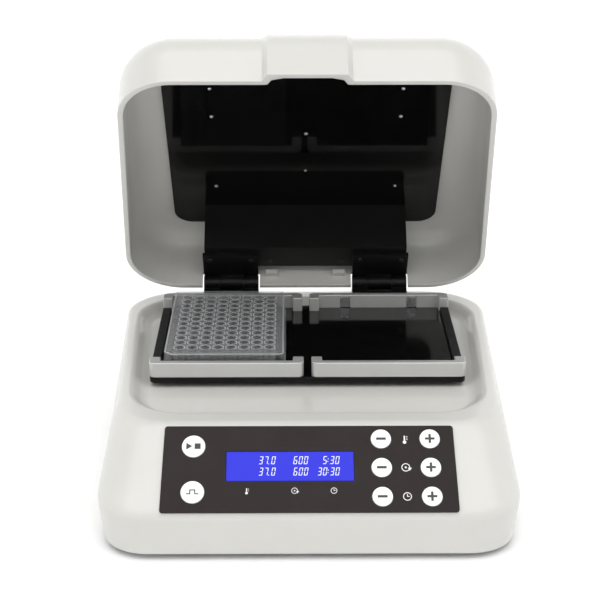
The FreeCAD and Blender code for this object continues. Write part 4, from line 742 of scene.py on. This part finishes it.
KEY_TOP, KEY_FOOT = 1.6, -7.95
for node, x, u in LARGE + SMALL:
    radius = 7.4 if (node, x, u) in LARGE else 6.45
    profile = [(0, KEY_FOOT), (2.2, KEY_FOOT), (2.4, KEY_FOOT + 0.2), (2.4, KEY_TOP - 1.0),
               (radius - 0.1, KEY_TOP - 1.0), (radius, KEY_TOP - 0.9), (radius, KEY_TOP - 0.45)]
    for k in range(1, 7):
        angle = math.pi / 2 * k / 6
        profile.append((radius - 0.42 * (1 - math.cos(angle)),
                        KEY_TOP - 0.45 + 0.33 * math.sin(angle)))
    for share in (0.8, 0.6, 0.4, 0.2):
        profile.append(((radius - 0.42) * share, KEY_TOP - 0.12 + 0.12 * (1 - share ** 2)))
    profile.append((0, KEY_TOP))
    turned_piece(node + "_cap", profile, KEY, NODE_BODY[node], steps=64, nodes=[node],
                 at=SLOPE @ Matrix.Translation((x, u, 0)))


def mark(name, outlines, low, high, material, body, x=0.0, u=0.0):
    """Printing on the sloped front: a very thin layer with softened edges."""
    bm = bmesh.new()
    for group in outlines:
        slab(bm, group, low, high, 0.03, 1, under=0.0)
    return piece(name, bm, material, body, at=SLOPE @ Matrix.Translation((x, u, 0)), merge=None)


REACH, THIN = 3.1, 0.75
MINUS = rectangle(-REACH, REACH, -0.82, 0.82, 0.3, 3)
PLUS = soften([(-REACH, -THIN, 0.3), (-THIN, -THIN, 0), (-THIN, -REACH, 0.3), (THIN, -REACH, 0.3),
               (THIN, -THIN, 0), (REACH, -THIN, 0.3), (REACH, THIN, 0.3), (THIN, THIN, 0),
               (THIN, REACH, 0.3), (-THIN, REACH, 0.3), (-THIN, THIN, 0), (-REACH, THIN, 0.3)], 3)
for node, x, u in SMALL:
    mark(node + "_sign", [[PLUS if "_up_" in node else MINUS]], 1.56, 1.66, INK, NODE_BODY[node],
         x, u)

# generic signs: run and stop on one large key, a single pulse on the other
mark("start_stop_sign", [[soften([(-4.6, -2.3, 0.2), (-0.8, 0, 0.2), (-4.6, 2.3, 0.2)], 3)],
                         [rectangle(0.7, 4.5, -1.9, 1.9, 0.25, 3)]],
     1.58, 1.68, INK, NODE_BODY["start_stop_key"], *LARGE[0][1:])
PULSE = [(-3.9, -1.5), (-1.2, -1.5), (-1.2, 1.0), (1.2, 1.0), (1.2, -1.5), (3.9, -1.5),
         (3.9, -0.8), (1.9, -0.8), (1.9, 1.7), (-1.9, 1.7), (-1.9, -0.8), (-3.9, -0.8)]
mark("short_run_sign", [[soften([(*corner, 0.1) for corner in PULSE], 2)]],
     1.58, 1.68, INK, NODE_BODY["short_run_key"], *LARGE[1][1:])


def thermometer(x, u, s):
    """A bulb with a stem."""
    stem = soften([(x - 0.32 * s, u - 0.5 * s, 0), (x + 0.32 * s, u - 0.5 * s, 0),
                   (x + 0.32 * s, u + 2.2 * s, 0.3 * s), (x - 0.32 * s, u + 2.2 * s, 0.3 * s)], 3)
    ticks = [[rectangle(x + 0.7 * s, x + 1.5 * s, u + k * s - 0.13 * s, u + k * s + 0.13 * s)]
             for k in (0.2, 0.95, 1.7)]
    return [[stem], [circle(x, u - 1.1 * s, 0.85 * s, 24)]] + ticks


def dial(x, u, s, hands):
    """A ring with two hands, or with an arrow head for a turning motion."""
    ring = [[circle(x, u, 2.05 * s, 36), circle(x, u, 1.65 * s, 36)]]
    if hands:
        return ring + [[rectangle(x - 0.18 * s, x + 0.18 * s, u - 0.1 * s, u + 1.25 * s)],
                       [rectangle(x + 0.18 * s, x + 1.0 * s, u - 0.18 * s, u + 0.18 * s)]]
    return ring + [[[Vector((x + 0.95 * s, u - 0.2 * s)), Vector((x + 2.85 * s, u - 0.2 * s)),
                     Vector((x + 1.85 * s, u - 1.75 * s))]], [circle(x, u, 0.5 * s, 20)]]


LARGE_SIGN = 1.35
for name, outlines in (
        ("temperature_sign", thermometer(61.0, 49.8, LARGE_SIGN)),
        ("speed_sign", dial(61.2, 31.2, LARGE_SIGN, False)),
        ("time_sign", dial(61.6, 11.8, LARGE_SIGN, True)),
        ("display_captions", thermometer(-39.5, 15.4, 1.0) + dial(-9.3, 15.8, 1.0, False)
         + dial(15.5, 15.8, 1.0, True))):
    mark(name, outlines, 1.15, 1.24, PALE_INK, "base")

# ---- display ----

slab_piece("display_glass", [rectangle(-52.5, 28.3, 22.55, 42.05, 0.5, 4)], 0.1, 1.1, BLUE, "base",
           edge=0.15, at=SLOPE, nodes=["display_window"])
# the bars that are lit in each figure
SEGMENTS = {"0": "abcdef", "3": "abgcd", "5": "afgcd", "6": "afgedc", "7": "abc"}
LEAN = 0.16


def digit(x, u, width, height, symbol):
    """A leaning seven-segment figure, from its lower left corner."""
    t = 0.23 * width
    half = height / 2
    bars = {
        "a": [(0, height), (width, height), (width - t, height - t), (t, height - t)],
        "d": [(0, 0), (t, t), (width - t, t), (width, 0)],
        "g": [(t * 0.4, half), (t, half + t / 2), (width - t, half + t / 2),
              (width - t * 0.4, half), (width - t, half - t / 2), (t, half - t / 2)],
        "f": [(0, height), (t, height - t), (t, half + t / 2), (0, half + t * 0.1)],
        "e": [(0, 0), (0, half - t * 0.1), (t, half - t / 2), (t, t)],
        "b": [(width, height), (width, half + t * 0.1), (width - t, half + t / 2),
              (width - t, height - t)],
        "c": [(width, 0), (width - t, t), (width - t, half - t / 2), (width, half - t * 0.1)],
    }
    shapes = []
    for key in SEGMENTS[symbol]:
        points = [Vector(p) for p in bars[key]]
        middle = sum(points, Vector((0, 0))) / len(points)
        points = [middle + (p - middle) * 0.93 for p in points]
        shapes.append([[Vector((x + p.x + LEAN * p.y, u + p.y)) for p in points]])
    return shapes


def number(text, right, u, width, height):
    """A number that ends at a right edge."""
    step = width * 1.42
    shapes = []
    x = right
    for symbol in reversed(text):
        if symbol in ".:":
            x -= width * 0.52
            for rise in ((0.0,) if symbol == "." else (0.28, 0.62)):
                r = 0.11 * width
                y = u + height * rise
                shapes.append([[Vector((x + width * 0.1 + p.x + LEAN * (y - u), y + p.y + r))
                                for p in rectangle(0, 2.2 * r, -r, r, r * 0.6, 2)]])
        else:
            x -= step
            shapes += digit(x + width * 0.3, u, width, height, symbol)
    return shapes


FIGURE_WIDTH, FIGURE_HEIGHT = 2.35, 5.3
figures = []
for u, row in ((33.6, ("37.0", "600", "5:30")), (26.0, ("37.0", "600", "30:30"))):
    for text, right in zip(row, (-21.6, -0.9, 19.0)):
        figures += number(text, right, u, FIGURE_WIDTH, FIGURE_HEIGHT)
mark("display_figures", figures, 1.08, 1.15, DIGIT, "base")

# ---- tray ----

slab_piece("tray_base", [rectangle(-TRAY_HALF_X, TRAY_HALF_X, TRAY_Y - TRAY_HALF_Y,
                                   TRAY_Y + TRAY_HALF_Y, 5.0, 10)], 70.0, TRAY_TOP, TRAY_BLACK,
           "platform", edge=0.3, nodes=["tray_plate"])
FENCE_GAP = 2.7
POSITION_X = (TRAY_HALF_X + FENCE_GAP) / 2
for side, word in ((-1, "left"), (1, "right")):
    for end, row in ((-1, "front"), (1, "rear")):
        face = TRAY_Y + end * TRAY_HALF_Y
        wall, tip = face - end * 5.0, face - end * 12.0
        x0, x1, w = side * FENCE_GAP, side * TRAY_HALF_X, side * 7.4
        outline = soften([(x0, face, 4.0), (x1, face, 4.0), (x1, tip, 0.8), (x1 - w, tip, 0.8),
                          (x1 - w, wall, 1.2), (x0 + w, wall, 1.2), (x0 + w, tip, 0.8),
                          (x0, tip, 0.8)], 8)
        node = "%s_fence_%s" % (row, word)
        bar = slab_piece(node + "_bar", [outline], TRAY_TOP, 85.0, FENCE, "platform", edge=0.6,
                         under=0.15, nodes=[node])
        if end > 0:
            # seats for the spring clips
            middles = [side * POSITION_X + k * 25.5 for k in (-1, 1)]
            carve(bar, [(block([rectangle(middle - 3.85, middle + 3.85, wall - 1.0, wall + 1.0)],
                               TRAY_TOP - 1, 83.5), None) for middle in middles])
    rail = [rectangle(*sorted((side * 102.7, side * TRAY_HALF_X)), TRAY_Y - 57.3, TRAY_Y + 57.3,
                      0.5, 3)]
    slab_piece("side_rail_" + word, rail, TRAY_TOP, 77.5, MATTE_BLACK, "platform", edge=0.5,
               under=0.0, nodes=["side_rails"])

# ---- microplate ----

def microplate():
    """A clear plate of 8 by 12 wells, in the standard sizes for such a plate."""
    width, length, height, step, flange = 85.48, 127.76, 14.35, 1.3, 2.5
    wall, pitch, radius, depth = 1.2, 9.0, 3.45, 10.9

    def body(inward, corner, cut=0.0):
        """The plate's outline, with one corner cut off where cut is given."""
        hw, hl = width / 2 - inward, length / 2 - inward
        first = [(-hw, -hl + cut, 1.0), (-hw + cut, -hl, 1.0)] if cut else [(-hw, -hl, corner)]
        return soften(first + [(hw, -hl, corner), (hw, hl, corner), (-hw, hl, corner)], 6)

    bm = bmesh.new()
    # foot flange, as a frame round the body
    upper = body(step, 3.0, 5.0)
    slab(bm, [body(0.0, 3.2), body(step + 0.02, 3.0, 5.0)], 0.0, flange, 0.35, 2)
    # walls: outside up, a low rim round the deck, and the inside down
    outer = wound(upper, True)

    def ring(inward, z):
        return [Vector((p.x, p.y, z)) for p in inset(outer, inward)]

    rim = 1.0
    deck = height - 0.9
    profile = [(wall, deck - wall), (wall, 0.1), (0.0, 0.1), (0.0, height - 0.3), (0.3, height),
               (rim, height), (rim + 0.2, height - 0.2), (rim + 0.2, deck)]
    rings = [[bm.verts.new(p) for p in ring(d, z)] for d, z in profile]
    join_rings(bm, rings)
    # deck with its wells, one square cell each
    steps, bottom = 24, height - depth
    turns = [(math.cos(2 * math.pi * k / steps), math.sin(2 * math.pi * k / steps))
             for k in range(steps)]
    cell = []
    for c, s in turns:
        reach = (pitch / 2) / max(abs(c), abs(s))
        cell.append((c * reach, s * reach))
    column_x = [(column - 3.5) * pitch for column in range(8)]
    line_y = [(line - 5.5) * pitch for line in range(12)]
    for cx in column_x:
        for cy in line_y:
            cell_top, cell_low = [], []
            for x, y in cell:
                cell_top.append(bm.verts.new((cx + x, cy + y, deck)))
                cell_low.append(bm.verts.new((cx + x, cy + y, deck - wall)))

            def hoop(r, z):
                return [bm.verts.new((cx + r * c, cy + r * s, z)) for c, s in turns]

            up = [cell_top, hoop(radius + 0.75, deck), hoop(radius + 0.7, height - 0.1),
                  hoop(radius + 0.55, height), hoop(radius + 0.1, height),
                  hoop(radius, height - 0.12), hoop(radius - 0.12, bottom + 0.5),
                  hoop(radius - 0.5, bottom)]
            join_rings(bm, up)
            bm.faces.new(up[-1])
            down = [cell_low, hoop(radius + 0.75, deck - wall), hoop(radius + 0.6, bottom - 0.6),
                    hoop(radius + 0.2, bottom - 1.0)]
            join_rings(bm, down)
            bm.faces.new(down[-1])
    # strips between the cells and the walls: the cells' outline, point by point
    near = 1e-5
    along_x = sorted(x for x, y in cell if abs(y + pitch / 2) < near)
    along_y = sorted(y for x, y in cell if abs(x - pitch / 2) < near)
    front_side = [(cx + x, -6 * pitch) for cx in column_x for x in along_x]
    right_side = [(4 * pitch, cy + y) for cy in line_y for y in along_y]
    rear_side = [(-x, -y) for x, y in front_side]
    left_side = [(-x, -y) for x, y in right_side]
    cells_outline = []
    for p in front_side + right_side + rear_side + left_side:
        if not cells_outline or (Vector(p) - Vector(cells_outline[-1])).length > near:
            cells_outline.append(p)
    if (Vector(cells_outline[0]) - Vector(cells_outline[-1])).length < near:
        cells_outline.pop()
    for level, outline in ((deck, ring(rim + 0.2, deck)), (deck - wall, ring(wall, deck - wall))):
        inner_loop = [Vector((x, y, level)) for x, y in reversed(cells_outline)]
        loops = [outline, inner_loop]
        flat = [bm.verts.new(p) for loop in loops for p in loop]
        for tri in tessellate_polygon(loops):
            if len(set(tri)) == 3:
                bm.faces.new([flat[i] for i in tri])
    at = Matrix.Translation((-57.8, TRAY_Y, TRAY_TOP + 0.02))
    obj = piece("well_plate", bm, CLEAR, "plate", ["microplate"], at=at, sharp=35.0, merge=2e-3)
    # the rims of the wells get a paler, denser copy of the clear plastic: a painted highlight
    obj.data.materials.append(CLEAR_PAINTED_HIGHLIGHT)
    to_plate = (TO_FRAME @ at).inverted()
    for face in obj.data.polygons:
        if (to_plate @ face.center).z > deck + 0.2:
            face.material_index = 1
    return obj


microplate()

# ---- rear, underside, spring clips ----

for node, width in (("base_plate", 0.25), ("mains_inlet", 0.3), ("power_switch_frame", 0.3),
                    ("power_rocker", 0.35), ("fuse_holder", 0.35), ("rubber_feet", 0.5),
                    ("bottom_screws", 0.12), ("plate_spring_clips", 0.2)):
    bevelled(node, width)

# ---- studio ----

floor_mat = finish_material("floor_pale", (0.95, 0.95, 0.95), 0.7, tint=0.01, grain=300.0,
                            grain_depth=0.01)
# a wide round floor that sweeps up at its edge, so that no horizon shows from any side
SWEEP_START, SWEEP_RADIUS, SWEEP_TOP = 3.2, 1.4, 3.4
floor_profile = [(0.0, 0.0), (0.5, 0.0), (1.5, 0.0), (SWEEP_START, 0.0)]
floor_profile += [(SWEEP_START + SWEEP_RADIUS * math.sin(math.radians(a)),
                   SWEEP_RADIUS * (1 - math.cos(math.radians(a)))) for a in range(10, 91, 10)]
floor_profile.append((SWEEP_START + SWEEP_RADIUS, SWEEP_TOP))
floor_bm = turned(bmesh.new(), floor_profile, steps=96)
bmesh.ops.reverse_faces(floor_bm, faces=floor_bm.faces)
floor_mesh = bpy.data.meshes.new("floor")
floor_bm.to_mesh(floor_mesh)
floor_bm.free()
floor_mesh.shade_smooth()
floor = bpy.data.objects.new("floor", floor_mesh)
floor.data.materials.append(floor_mat)
bpy.context.scene.collection.objects.link(floor)

world = bpy.data.worlds.new("studio")
bpy.context.scene.world = world
world.use_nodes = True
sky = world.node_tree.nodes["Background"]
sky.inputs["Color"].default_value = (1, 1, 1, 1)
sky.inputs["Strength"].default_value = 0.69

# one wide soft light, from above and a little in front
overhead = bpy.data.lights.new("overhead", "SUN")
overhead.energy = 2.12
overhead.angle = math.radians(84)
overhead_obj = bpy.data.objects.new("overhead", overhead)
overhead_obj.rotation_euler = Vector((0.05, -0.50, 1.0)).to_track_quat("Z", "Y").to_euler()
bpy.context.scene.collection.objects.link(overhead_obj)

# the camera was fitted to the photo's microplate, tray and base: focal length in pixels of 600
FOCAL_PIXELS, PICTURE_PIXELS, SENSOR = 1517.8, 600, 36.0
camera_data = bpy.data.cameras.new("camera")
camera_data.lens = FOCAL_PIXELS / PICTURE_PIXELS * SENSOR
camera_data.sensor_width = SENSOR
camera_data.clip_start = 0.05
camera = bpy.data.objects.new("camera", camera_data)
bpy.context.scene.collection.objects.link(camera)
camera.location = TO_FRAME @ Vector((-11.12, -988.5, 491.9))
camera.rotation_euler = (math.radians(90 - 20.618), 0.0, math.radians(-0.352))
bpy.context.scene.camera = camera
bpy.context.scene.view_settings.view_transform = "Standard"

bpy.context.view_layer.update()
